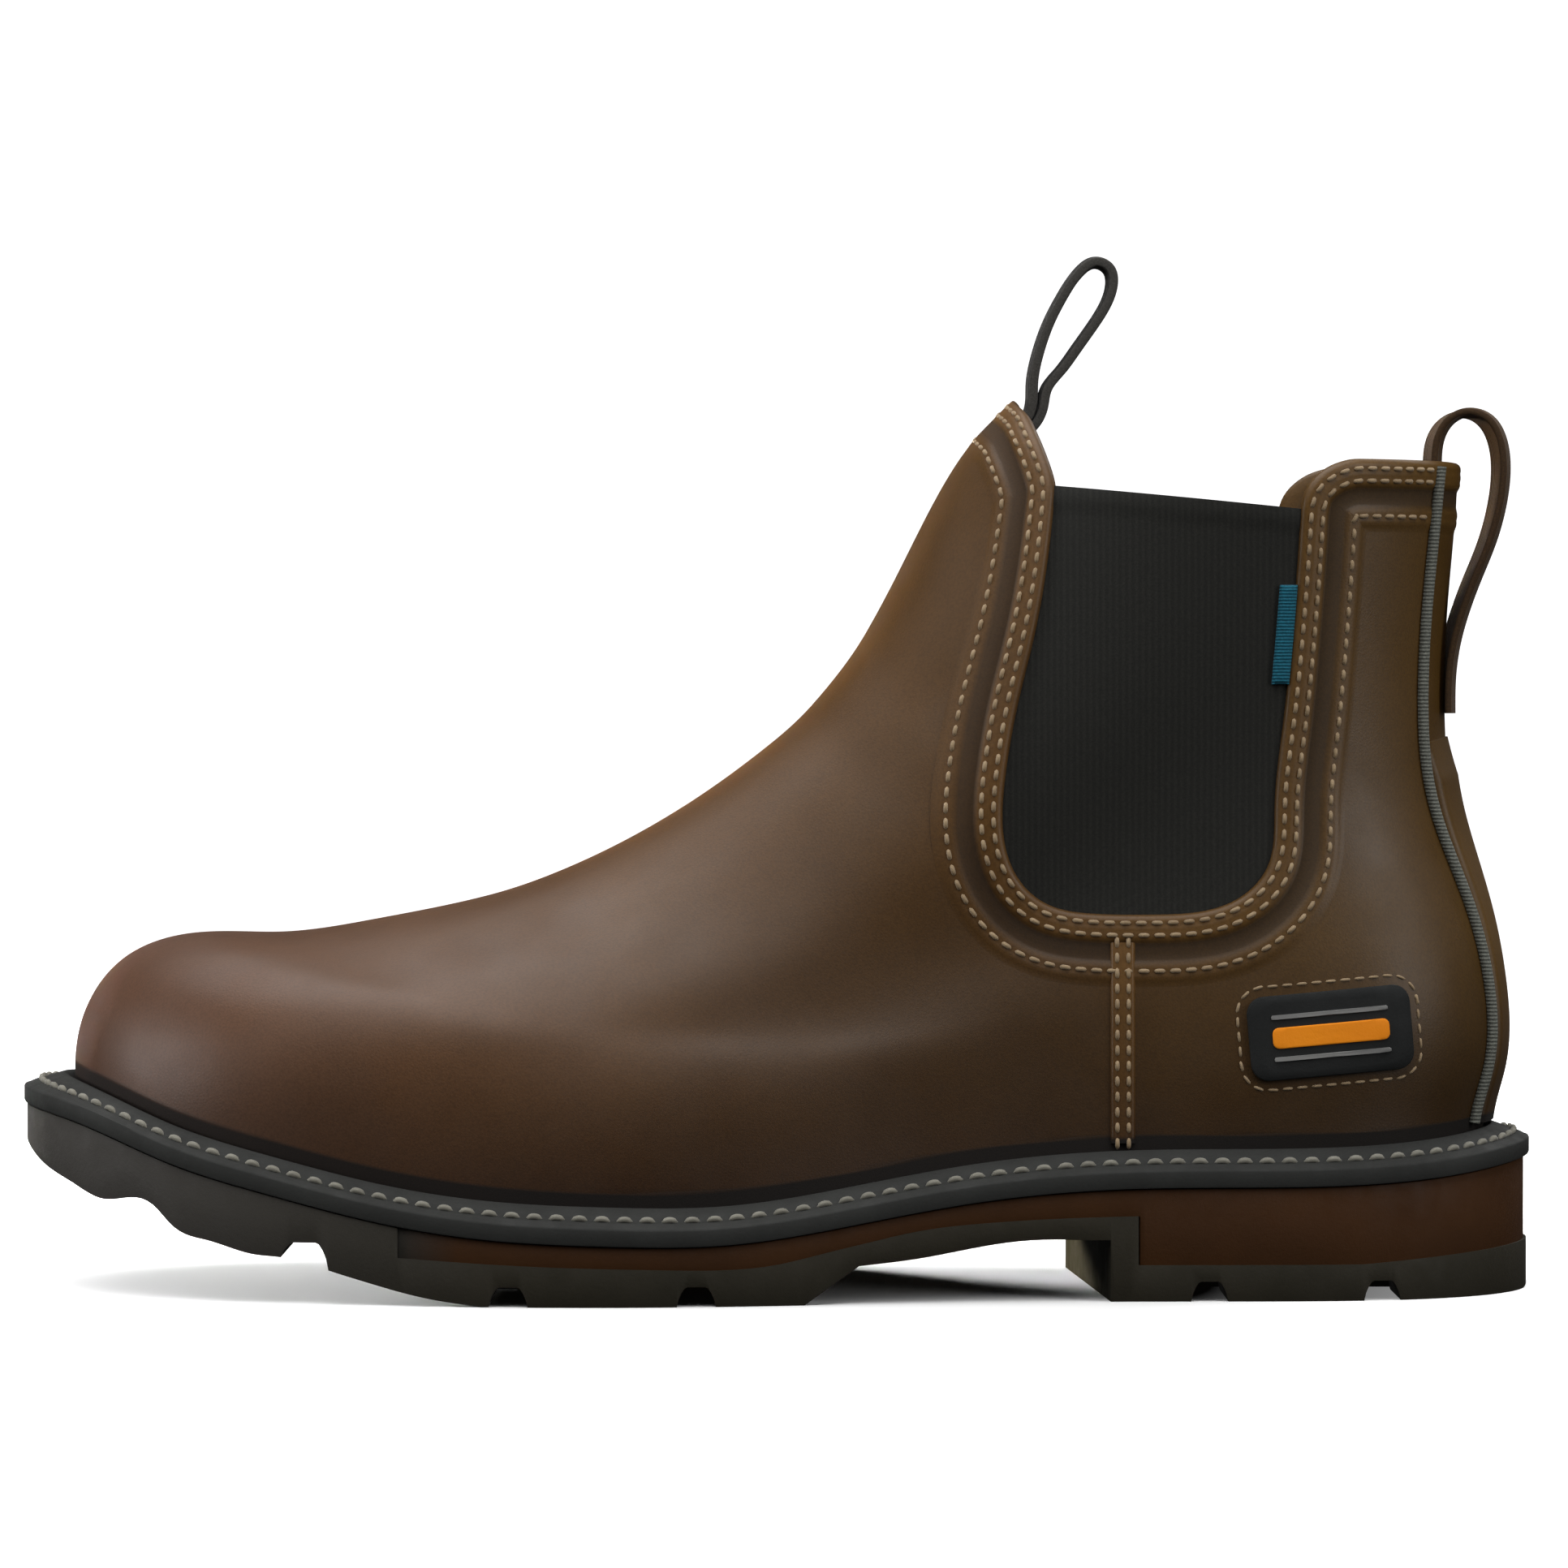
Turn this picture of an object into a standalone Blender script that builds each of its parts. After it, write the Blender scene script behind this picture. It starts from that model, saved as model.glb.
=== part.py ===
"""Side gore work boot for the left foot, as separate closed solids.

Units are metres, +Z is up. The toe points to -X, the outer side of the foot to -Y.
The origin is on the floor, under the middle of the boot's bounding box.

The upper is one surface, worked out from its side view and a table of half-widths.
Every piece that lies on the upper (gores, stay, piping, patch, seam strips) is cut
from that same surface at another depth, and the sole follows its lower edge.
"""
import math

import bmesh
import bpy
import numpy as np

# Driving dimensions
SOLE_LENGTH = 0.312
UPPER_BALL_WIDTH = 0.102
PEAK_HEIGHT = 0.182
COLLAR_HEIGHT = 0.169
COLLAR_OVERRUN = 0.003
OPEN_BACK_SHARE = 1.1
OPEN_TOP_SHARE = 1.3
TOE_SWING = 0.007
LEATHER = 0.0024
FIT_GAP = 0.0003

# Welt and the line where it meets the upper
FEATHER_HEIGHT = 0.0436
WELT_EDGE = 0.0037
WELT_RISE = 0.0046
WELT_CLEARANCE = 0.0004
TOE_LEDGE = 0.0110
SIDE_LEDGE = 0.0072
HEEL_LEDGE = 0.0096

# Sole
TREAD_INSET = 0.0004
MIDSOLE_INSET = 0.0010
MIDSOLE_FRONT_SHARE = 0.26
HEEL_BREAST_SHARE = 0.7179
BREAST_SKEW = 0.0070
SKEW_REACH = 0.0400
BREAST_WALL = 0.0056
HEEL_BASE = 0.0076
HEEL_BASE_RISE = 0.0036
HEEL_BASE_FLAT = 0.0450
HEEL_CORNER = 0.0028
TREAD_END_SHARE = 0.5190
LUG_DEPTH = 0.0040
CHANNEL_WIDTH = 0.0060
CHANNEL_DEPTH = 0.0034
TREAD_CHANNEL_PLACE = 0.0170
HEEL_CHANNEL_PLACE = 0.0110
CHANNEL_FRONT_SHARE = 0.1700
CHANNEL_MARGIN = 0.0120
INSOLE_THICKNESS = 0.0045
INSOLE_END_ANGLE = 0.16
BLANK_HEIGHT = 0.0600
CUT_MARGIN = 0.0100

# Gores
GORE_WIDTH = 0.0613
GORE_DEPTH = 0.0871
GORE_FRONT_SHARE = 0.6462
GORE_FRONT_DROP = 0.0177
GORE_RECESS = 0.0006
GORE_THICKNESS = 0.0016

# Trim on the leather
STAY_HALF_WIDTH = 0.0175
STAY_THICKNESS = 0.0016
STAY_TOP_SHARE = 0.6700
STAY_TAPER = 0.0080
STAY_THINNEST_SHARE = 0.25
PIPING_RADIUS = 0.0008
SEAM_SHARE = 0.7250
SEAM_WIDTH = 0.0050
SEAM_THICKNESS = 0.0008
SEAM_FOOT_GAP = 0.0008
SEAM_TOP_GAP = 0.0015
PATCH_LENGTH = 0.0330
PATCH_HEIGHT = 0.0170
PATCH_CORNER = 0.0035
PATCH_THICKNESS = 0.0012
PATCH_SHARE = 0.8590
PATCH_UP_SHARE = 0.3172
PATCH_TILT = 5.0
TAB_WIDTH = 0.0034
TAB_LENGTH = 0.0200
TAB_THICKNESS = 0.0009
TAB_UP_SHARE = 0.7363

# Pull loops
FRONT_WEBBING_WIDTH = 0.0100
FRONT_WEBBING_THICKNESS = 0.0017
FRONT_LOOP_BOW = -0.0005
BACK_WEBBING_WIDTH = 0.0200
BACK_WEBBING_THICKNESS = 0.0018
BACK_LOOP_BOW = 0.0016

# Colours, roughness
FINISHES = {
    "leather": ((0.075, 0.045, 0.026), 0.45),
    "outsole_rubber": ((0.028, 0.027, 0.025), 0.75),
    "midsole_rubber": ((0.030, 0.014, 0.006), 0.70),
    "gore_elastic": ((0.012, 0.012, 0.010), 0.90),
    "piping_cover": ((0.080, 0.082, 0.070), 0.80),
    "front_webbing": ((0.015, 0.014, 0.013), 0.90),
    "back_webbing": ((0.035, 0.016, 0.004), 0.90),
    "footbed_foam": ((0.050, 0.048, 0.045), 0.90),
    "patch_rubber": ((0.015, 0.017, 0.016), 0.60),
    "tab_cloth": ((0.003, 0.075, 0.110), 0.85),
}

# Welt line from toe to heel
FEATHER_ROWS = (
    # along (share of sole length from the toe), height (share of FEATHER_HEIGHT)
    (0.000, 1.066),
    (0.046, 1.000),
    (0.109, 0.835),
    (0.176, 0.700),
    (0.244, 0.583),
    (0.314, 0.507),
    (0.394, 0.477),
    (0.471, 0.480),
    (0.551, 0.562),
    (0.628, 0.656),
    (0.724, 0.716),
    (0.837, 0.725),
    (0.939, 0.766),
    (1.000, 0.830),
)

# Where the welt's ledge is its toe, side and heel width, from front to back
LEDGE_PLACES = (0.0, 0.15, 0.3, 0.7, 0.85, 1.0)

# Side view of the upper, up the toe, vamp and instep to the collar's peak
FRONT_ROWS = (
    # along (share of sole length), height (share of PEAK_HEIGHT)
    (0.0343, 0.247),
    (0.0423, 0.315),
    (0.0673, 0.370),
    (0.1090, 0.397),
    (0.1699, 0.399),
    (0.2340, 0.414),
    (0.3205, 0.447),
    (0.4038, 0.507),
    (0.4744, 0.584),
    (0.5321, 0.674),
    (0.5705, 0.772),
    (0.6058, 0.890),
    (0.6346, 0.964),
    (0.6561, 1.001),
)

# Side view of the upper, up the heel to the back of the collar
BACK_ROWS = (
    # along (share of sole length), height (share of COLLAR_HEIGHT)
    (0.9712, 0.221),
    (0.9782, 0.272),
    (0.9804, 0.314),
    (0.9785, 0.367),
    (0.9705, 0.450),
    (0.9596, 0.521),
    (0.9506, 0.580),
    (0.9452, 0.639),
    (0.9433, 0.710),
    (0.9452, 0.828),
    (0.9500, 0.935),
    (0.9520, 1.000),
)
RIM_TOE_SHARE = 0.0365
RIM_HEEL_SHARE = 0.9679

# Half-widths of the rings round the upper, as shares of half the ball width
RING_PLACES = (0.00, 0.10, 0.25, 0.40, 0.60, 0.85, 1.00)
OUTER_RINGS = (
    # up, then the share at each of RING_PLACES from front to back
    (0.00, 1.48, 1.36, 1.18, 1.06, 0.83, 1.00, 1.41),
    (0.10, 1.50, 1.42, 1.20, 1.05, 0.80, 1.01, 1.42),
    (0.25, 1.30, 1.28, 1.10, 0.87, 0.75, 0.99, 1.38),
    (0.45, 0.94, 0.92, 0.83, 0.72, 0.69, 0.87, 1.03),
    (0.70, 0.75, 0.76, 0.74, 0.72, 0.71, 0.76, 0.79),
    (1.00, 0.66, 0.68, 0.71, 0.72, 0.72, 0.72, 0.72),
)
INNER_RINGS = (
    # up, then the share at each of RING_PLACES from front to back
    (0.00, 1.48, 1.31, 1.05, 0.93, 0.69, 0.95, 1.41),
    (0.10, 1.50, 1.37, 1.07, 0.91, 0.67, 0.97, 1.42),
    (0.25, 1.30, 1.22, 1.00, 0.79, 0.69, 0.97, 1.38),
    (0.45, 0.94, 0.88, 0.78, 0.69, 0.68, 0.87, 1.03),
    (0.70, 0.75, 0.76, 0.74, 0.72, 0.71, 0.76, 0.79),
    (1.00, 0.66, 0.68, 0.71, 0.72, 0.72, 0.72, 0.72),
)

# Edge of the leather round a gore, from its front top down and up to its rear top
GORE_ROWS = (
    # across (share of GORE_WIDTH), up (share of GORE_DEPTH)
    (0.170, 1.000),
    (0.147, 0.844),
    (0.098, 0.644),
    (0.047, 0.495),
    (0.005, 0.315),
    (0.000, 0.194),
    (0.042, 0.094),
    (0.142, 0.024),
    (0.300, 0.000),
    (0.509, -0.002),
    (0.684, 0.008),
    (0.808, 0.045),
    (0.892, 0.115),
    (0.914, 0.245),
    (0.943, 0.444),
    (0.971, 0.644),
    (0.992, 0.844),
    (1.000, 0.943),
)

# Collar edge of the front panel, from its peak down to the gore
PEAK_ROWS = (
    # back from the gore's front (share of GORE_WIDTH), down from its top (share of GORE_DEPTH)
    (-0.100, -0.230),
    (0.045, -0.208),
    (0.088, -0.170),
    (0.126, -0.100),
    (0.155, -0.040),
)

# Collar edge of the back quarter, from the gore up to the level collar
QUARTER_ROWS = (
    # back (share of GORE_WIDTH past the gore), up (share of the rise to the collar)
    (0.008, 0.30),
    (0.035, 0.58),
    (0.093, 0.86),
    (0.165, 1.00),
)

# Underside of the toe, from the tip back to the flat tread
TOE_SPRING_ROWS = (
    # along (share of sole length), height (share of FEATHER_HEIGHT)
    (0.0000, 0.711),
    (0.0190, 0.600),
    (0.0420, 0.520),
    (0.0640, 0.455),
    (0.0990, 0.438),
    (0.1110, 0.352),
    (0.1350, 0.286),
    (0.1650, 0.228),
    (0.1840, 0.216),
    (0.2144, 0.160),
    (0.2400, 0.106),
    (0.2696, 0.050),
    (0.3020, 0.012),
    (0.3240, 0.000),
)

# Underside of the shank, from the end of the tread to the heel breast
SHANK_ROWS = (
    # along (share of sole length), height (share of FEATHER_HEIGHT)
    (0.5540, 0.176),
    (0.5950, 0.209),
    (0.6305, 0.254),
    (0.6600, 0.282),
    (0.7050, 0.284),
)

# Underside of the midsole, over the tread and the shank
MIDSOLE_ROWS = (
    # along (share of sole length), height (share of FEATHER_HEIGHT)
    (0.2600, 0.227),
    (0.2950, 0.211),
    (0.3640, 0.188),
    (0.4300, 0.176),
    (0.4700, 0.174),
    (0.5035, 0.197),
    (0.5300, 0.240),
    (0.5620, 0.292),
    (0.5960, 0.342),
    (0.6300, 0.368),
    (0.6860, 0.390),
    (0.7500, 0.402),
)

# Grooves between the lugs, cut in from both sides of the tread and heel
SIDE_GROOVE_ROWS = (
    # along (share of sole length), width (share of sole length), where it ends from the middle (metres)
    (0.1990, 0.0310, 0.0),
    (0.3300, 0.0250, TREAD_CHANNEL_PLACE),
    (0.4500, 0.0250, TREAD_CHANNEL_PLACE),
    (0.7800, 0.0240, HEEL_CHANNEL_PLACE),
    (0.8920, 0.0240, HEEL_CHANNEL_PLACE),
)

# Grooves across the middle row of lugs, between the channels
MIDDLE_GROOVE_ROWS = (
    # along (share of sole length), width (share of sole length), where it ends from the middle (metres)
    (0.2650, 0.0200, TREAD_CHANNEL_PLACE),
    (0.3900, 0.0200, TREAD_CHANNEL_PLACE),
    (0.8360, 0.0200, HEEL_CHANNEL_PLACE),
)

# Section of a groove
GROOVE_SECTION = (
    # across (share of its width), up (share of LUG_DEPTH)
    (0.00, 0.00),
    (0.13, 0.70),
    (0.27, 1.00),
    (0.73, 1.00),
    (0.87, 0.70),
    (1.00, 0.00),
)

# Route of the front pull loop, from inside the collar's peak round and back
FRONT_LOOP_ROWS = (
    # along (share of sole length), height (share of PEAK_HEIGHT)
    (0.6442, 0.9462),
    (0.6558, 0.9659),
    (0.6660, 0.9846),
    (0.6689, 1.0027),
    (0.6692, 1.0209),
    (0.6731, 1.0560),
    (0.6801, 1.0907),
    (0.6897, 1.1225),
    (0.7003, 1.1484),
    (0.7109, 1.1593),
    (0.7199, 1.1516),
    (0.7218, 1.1330),
    (0.7173, 1.1099),
    (0.7090, 1.0868),
    (0.6981, 1.0604),
    (0.6872, 1.0352),
    (0.6782, 1.0143),
    (0.6760, 0.9956),
    (0.6724, 0.9802),
    (0.6603, 0.9582),
    (0.6487, 0.9385),
)

# Route of the back pull loop, from inside the collar over it and down the back
BACK_LOOP_ROWS = (
    # along (share of sole length), height (share of COLLAR_HEIGHT)
    (0.9343, 0.8876),
    (0.9372, 0.9467),
    (0.9385, 1.0000),
    (0.9404, 1.0325),
    (0.9478, 1.0550),
    (0.9603, 1.0651),
    (0.9734, 1.0568),
    (0.9814, 1.0325),
    (0.9840, 1.0000),
    (0.9814, 0.9527),
    (0.9744, 0.9053),
    (0.9654, 0.8639),
    (0.9571, 0.8225),
    (0.9510, 0.7811),
    (0.9481, 0.7396),
    (0.9478, 0.6982),
)

# Parts of the upper's surface that the trim is cut from
WINDOWS = {
    # angles from the toe (degrees), heights (share of the way up), steps each way
    "gore": ((24, 140), (0.34, 1.00), (15, 12)),
    "seam": ((85, 125), (0.02, 0.52), (9, 12)),
    "patch": ((108, 152), (0.08, 0.40), (12, 10)),
    "tab": ((88, 128), (0.58, 0.92), (9, 8)),
}

# How far up the surface, from 0 to 1, the stay and piping start above the welt
STAY_FOOT_RISE = 0.012
PIPING_FOOT_RISE = 0.015

# Fineness of the faceted solids
RING_STEPS = 60
SHELL_ROWS = (0.0, 0.03, 0.06, 0.09, 0.12, 0.16, 0.21, 0.27, 0.33, 0.40, 0.47, 0.54, 0.62, 0.70, 0.78,
              0.86, 0.94, 1.0)
SOLE_STEPS = 72
GORE_STEPS = 34


def cubic(places, rows):
    """Return a smooth function through rows of values, a natural cubic spline."""
    place = np.asarray(places, float)
    value = np.asarray(rows, float)
    count = len(place)
    step = np.diff(place)
    matrix = np.eye(count)
    right = np.zeros_like(value)
    for i in range(1, count - 1):
        matrix[i, i - 1:i + 2] = (step[i - 1], 2 * (step[i - 1] + step[i]), step[i])
        right[i] = 6 * ((value[i + 1] - value[i]) / step[i] - (value[i] - value[i - 1]) / step[i - 1])
    bend = np.linalg.solve(matrix, right)

    def at(where):
        where = np.clip(np.asarray(where, float), place[0], place[-1])
        i = np.clip(np.searchsorted(place, where, side="right") - 1, 0, count - 2)
        size = step[i][..., None]
        a = (place[i + 1] - where)[..., None] / size
        b = 1 - a
        curve = ((a**3 - a) * bend[i] + (b**3 - b) * bend[i + 1]) * size**2 / 6
        return a * value[i] + b * value[i + 1] + curve

    return at


def path(points):
    """Return a smooth curve through points, its parameter 0 to 1 by distance along them."""
    points = np.asarray(points, float)
    travel = np.concatenate(([0.0], np.cumsum(np.linalg.norm(np.diff(points, axis=0), axis=1))))
    return cubic(travel / travel[-1], points)


def along_x(share):
    """Return the X of a place given as a share of the sole's length from the toe."""
    return (np.asarray(share) - 0.5) * SOLE_LENGTH


def height_curve(rows, height):
    """Return Z as a function of X for rows of (along, share of height)."""
    rows = np.asarray(rows, float)
    curve = cubic(along_x(rows[:, 0]), rows[:, 1:] * height)
    return lambda x: curve(x)[..., 0]


feather = height_curve(FEATHER_ROWS, FEATHER_HEIGHT)


def deck(x):
    """Return the height of the sole's upper face, where upper, welt and insole stand."""
    return feather(x) - WELT_EDGE - WELT_RISE - 2 * FIT_GAP


def profile(rows, height, rim_share):
    """Return a side-view curve of the upper from its lower rim to above the collar."""
    rows = np.asarray(rows, float)
    points = np.stack((along_x(rows[:, 0]), rows[:, 1] * height), axis=1)
    rim_x = along_x(rim_share)
    rim = np.array([rim_x, deck(rim_x) + FIT_GAP])
    last = points[-1] - points[-2]
    above = points[-1] + last / np.linalg.norm(last) * COLLAR_OVERRUN
    return path(np.vstack((rim, points, above)))


front_profile = profile(FRONT_ROWS, PEAK_HEIGHT, RIM_TOE_SHARE)
back_profile = profile(BACK_ROWS, COLLAR_HEIGHT, RIM_HEEL_SHARE)


def side_view(t, v):
    """Return X and Z of the upper's surface, t from front to back and v from rim to top."""
    t = np.asarray(t, float)[..., None]
    low_x = along_x(RIM_TOE_SHARE + (RIM_HEEL_SHARE - RIM_TOE_SHARE) * t[..., 0])
    low = np.stack((low_x, deck(low_x) + FIT_GAP), axis=-1)
    front = front_profile(v)
    back = back_profile(v)
    v = np.asarray(v, float)[..., None]
    straight_low = (1 - t) * front_profile(0.0) + t * back_profile(0.0)
    return (1 - t) * front + t * back + (1 - v) * (low - straight_low)


def ring_share(rows):
    """Return the half-width share as a function of t and v for one side's table."""
    rows = np.asarray(rows, float)
    up_weights = cubic(rows[:, 0], np.eye(len(rows)))
    along_weights = cubic(RING_PLACES, np.eye(len(RING_PLACES)))
    return lambda t, v: np.einsum("...r,...c,rc->...", up_weights(v), along_weights(t), rows[:, 1:])


outer_share = ring_share(OUTER_RINGS)
inner_share = ring_share(INNER_RINGS)


def raw_surface(angle, v):
    """Return points of the upper's outer surface about the last's own centre line."""
    angle, v = np.broadcast_arrays(np.asarray(angle, float), np.asarray(v, float))
    t = (1 - np.cos(angle)) / 2
    flat = side_view(t, v)
    share = np.where(np.sin(angle) < 0, outer_share(t, v), inner_share(t, v))
    swing = TOE_SWING * (1 - t)**2 * (1 - v)**1.5
    y = swing + np.sin(angle) * share * UPPER_BALL_WIDTH / 2
    return np.stack((flat[..., 0], y, flat[..., 1]), axis=-1)


def raw_outline(inset, steps):
    """Return the sole's plan outline about the last's own centre line, moved in by inset."""
    angles = np.linspace(-math.pi, math.pi, steps, endpoint=False)
    small = 1e-4
    here = raw_surface(angles, np.zeros(steps))[:, :2]
    ahead = raw_surface(angles + small, np.zeros(steps))[:, :2]
    tangent = ahead - here
    tangent /= np.linalg.norm(tangent, axis=1, keepdims=True)
    outward = np.stack((-tangent[:, 1], tangent[:, 0]), axis=1)
    t = (1 - np.cos(angles)) / 2
    ledges = (TOE_LEDGE, SIDE_LEDGE, SIDE_LEDGE, SIDE_LEDGE, SIDE_LEDGE, HEEL_LEDGE)
    ledge = cubic(LEDGE_PLACES, np.reshape(ledges, (-1, 1)))(t)
    return here + outward * (ledge - inset)


def middle_line():
    """Return the Y of the middle between the widest points of the sole's outline."""
    across = raw_outline(0.0, SOLE_STEPS)[:, 1]
    return (across.max() + across.min()) / 2


MIDDLE_Y = middle_line()


def surface(angle, v):
    """Return points of the upper's outer surface; negative angles are its outer side."""
    return raw_surface(angle, v) - (0.0, MIDDLE_Y, 0.0)


def layer(angle, v, depth):
    """Return points of the upper's surface moved outward by depth."""
    angle, v = np.broadcast_arrays(np.asarray(angle, float), np.asarray(v, float))
    small = 1e-4
    around = surface(angle + small, v) - surface(angle - small, v)
    low = np.clip(v - small, 0, 1)
    high = np.clip(v + small, 0, 1)
    up = surface(angle, high) - surface(angle, low)
    normal = np.cross(up, around)
    normal /= np.linalg.norm(normal, axis=-1, keepdims=True)
    points = surface(angle, v) + normal * depth
    points[..., 2] = np.maximum(points[..., 2], deck(points[..., 0]) + FIT_GAP)
    return points


def up_at(height, angle):
    """Return v where the upper's surface at this angle has the given height."""
    steps = np.linspace(0, 1, 400)
    heights = surface(np.full_like(steps, angle), steps)[:, 2]
    return float(np.interp(height, heights, steps))


def feather_v(angle):
    """Return v where the upper's surface crosses the feather line."""
    steps = np.linspace(0, 0.2, 200)
    points = surface(np.full_like(steps, angle), steps)
    above = points[:, 2] - feather(points[:, 0])
    return float(np.interp(0.0, above, steps))


def material(name):
    """Return the Principled material with this name, made at its first use."""
    found = bpy.data.materials.get(name)
    if found:
        return found
    colour, roughness = FINISHES[name]
    made = bpy.data.materials.new(name)
    made.use_nodes = True
    shader = made.node_tree.nodes["Principled BSDF"]
    shader.inputs["Base Color"].default_value = (*colour, 1.0)
    shader.inputs["Roughness"].default_value = roughness
    return made


def solid(name, points, faces, finish):
    """Make one object from points and faces, with its faces turned outward."""
    mesh = bpy.data.meshes.new(name)
    mesh.from_pydata([tuple(map(float, p)) for p in points], [], faces)
    work = bmesh.new()
    work.from_mesh(mesh)
    bmesh.ops.recalc_face_normals(work, faces=work.faces)
    bmesh.ops.triangulate(work, faces=work.faces)
    work.to_mesh(mesh)
    work.free()
    made = bpy.data.objects.new(name, mesh)
    bpy.context.scene.collection.objects.link(made)
    mesh.shade_smooth()
    mesh.set_sharp_from_angle(angle=math.radians(35))
    if finish:
        mesh.materials.append(material(finish))
    return made


def loop_solid(name, sections, finish):
    """Make a solid from sections that form a closed round of closed loops."""
    count = len(sections)
    size = len(sections[0])
    faces = []
    for i in range(count):
        for j in range(size):
            a = i * size + j
            b = i * size + (j + 1) % size
            c = (i + 1) % count * size + (j + 1) % size
            d = (i + 1) % count * size + j
            faces.append((a, b, c, d))
    return solid(name, np.concatenate(sections), faces, finish)


def slab_solid(name, top, bottom, finish):
    """Make a solid between two grids of points of the same shape."""
    rows, columns = top.shape[:2]
    points = np.concatenate((top.reshape(-1, 3), bottom.reshape(-1, 3)))
    under = rows * columns

    def index(i, j):
        return i * columns + j

    faces = []
    for i in range(rows - 1):
        for j in range(columns - 1):
            quad = (index(i, j), index(i + 1, j), index(i + 1, j + 1), index(i, j + 1))
            faces.append(quad)
            faces.append(tuple(under + k for k in reversed(quad)))
    edge = [index(i, 0) for i in range(rows)]
    edge += [index(rows - 1, j) for j in range(1, columns)]
    edge += [index(i, columns - 1) for i in range(rows - 2, -1, -1)]
    edge += [index(0, j) for j in range(columns - 2, 0, -1)]
    for a, b in zip(edge, edge[1:] + edge[:1]):
        faces.append((a, b, under + b, under + a))
    return solid(name, points, faces, finish)


def tube_solid(name, centres, radius, sides, finish):
    """Make a round tube with capped ends along a row of centre points."""
    tangent = np.gradient(centres, axis=0)
    tangent /= np.linalg.norm(tangent, axis=1, keepdims=True)
    across = np.cross(tangent, (1.0, 0.0, 0.0))
    across /= np.linalg.norm(across, axis=1, keepdims=True)
    other = np.cross(tangent, across)
    points = []
    for centre, u, w in zip(centres, across, other):
        for k in range(sides):
            turn = 2 * math.pi * k / sides
            points.append(centre + radius * (math.cos(turn) * u + math.sin(turn) * w))
    faces = []
    for i in range(len(centres) - 1):
        for k in range(sides):
            after = (k + 1) % sides
            faces.append((i * sides + k, i * sides + after, (i + 1) * sides + after, (i + 1) * sides + k))
    faces.append(tuple(range(sides)))
    faces.append(tuple(range((len(centres) - 1) * sides, len(centres) * sides)))
    return solid(name, points, faces, finish)


def side_loft(name, low_outline, high_outline, low_y, high_y):
    """Make a solid between two side-view outlines of (X, Z), at low_y and at high_y."""
    count = len(low_outline)
    points = [(x, low_y, z) for x, z in low_outline] + [(x, high_y, z) for x, z in high_outline]
    faces = [(i, (i + 1) % count, count + (i + 1) % count, count + i) for i in range(count)]
    faces.append(tuple(range(count)))
    faces.append(tuple(range(count, 2 * count)))
    return solid(name, points, faces, None)


def side_prism(name, outline, low_y, high_y):
    """Make a prism from a side-view outline of (X, Z), across from low_y to high_y."""
    return side_loft(name, outline, outline, low_y, high_y)


def plan_prism(name, outline, low_z, high_z, finish=None):
    """Make a prism from a plan outline of (X, Y), from low_z up to high_z."""
    count = len(outline)
    points = [(x, y, low_z) for x, y in outline] + [(x, y, high_z) for x, y in outline]
    faces = [(i, (i + 1) % count, count + (i + 1) % count, count + i) for i in range(count)]
    faces.append(tuple(range(count)))
    faces.append(tuple(range(count, 2 * count)))
    return solid(name, points, faces, finish)


def cut(target, cutter, operation):
    """Cut target by cutter with a Boolean modifier, and leave the cutter as a guide."""
    cutter.hide_render = True
    cutter.display_type = "WIRE"
    change = target.modifiers.new(cutter.name, "BOOLEAN")
    change.operation = operation
    change.object = cutter
    change.solver = "EXACT"
    return target


def ring(v, depth):
    """Return a closed loop of points round the upper."""
    angles = np.linspace(-math.pi, math.pi, RING_STEPS, endpoint=False)
    return layer(angles, np.full(RING_STEPS, v), depth)


def window(name, side, outer_depth, inner_depth, finish, node):
    """Return a slab of the upper's surface, side -1 for the outer side of the boot."""
    angles, ups, steps = WINDOWS[name]
    angle = side * np.radians(np.linspace(*angles, steps[0]))
    up = np.linspace(*ups, steps[1])
    angle, up = np.meshgrid(angle, up, indexing="ij")
    return slab_solid(node, layer(angle, up, outer_depth), layer(angle, up, inner_depth), finish)


def gore_edge(grow):
    """Return the gore's opening as a side-view curve, moved outward from it by grow."""
    rows = np.asarray(GORE_ROWS, float)
    low = PEAK_HEIGHT - GORE_FRONT_DROP - GORE_DEPTH
    front = along_x(GORE_FRONT_SHARE)
    points = np.stack((front + rows[:, 0] * GORE_WIDTH, low + rows[:, 1] * GORE_DEPTH), axis=1)
    line = path(points)(np.linspace(0, 1, GORE_STEPS))
    tangent = np.gradient(line, axis=0)
    tangent /= np.linalg.norm(tangent, axis=1, keepdims=True)
    outward = np.stack((tangent[:, 1], -tangent[:, 0]), axis=1)
    return line + outward * grow


def collar_cut():
    """Return the outline of all that is open above the leather, both gores included."""
    edge = gore_edge(0.0)
    peak = np.asarray(PEAK_ROWS, float)
    peak_x = along_x(GORE_FRONT_SHARE) + peak[:, 0] * GORE_WIDTH
    peak_line = np.stack((peak_x, edge[0, 1] - peak[:, 1] * GORE_DEPTH), axis=1)
    rise = COLLAR_HEIGHT - edge[-1, 1]
    quarter = np.asarray(QUARTER_ROWS, float)
    quarter_x = edge[-1, 0] + quarter[:, 0] * GORE_WIDTH
    quarter_line = np.stack((quarter_x, edge[-1, 1] + quarter[:, 1] * rise), axis=1)
    past_heel = along_x(OPEN_BACK_SHARE)
    ceiling = PEAK_HEIGHT * OPEN_TOP_SHARE
    ends = np.array([(past_heel, COLLAR_HEIGHT), (past_heel, ceiling), (peak_line[0, 0], ceiling)])
    return np.vstack((peak_line, edge, quarter_line, ends))


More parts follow.
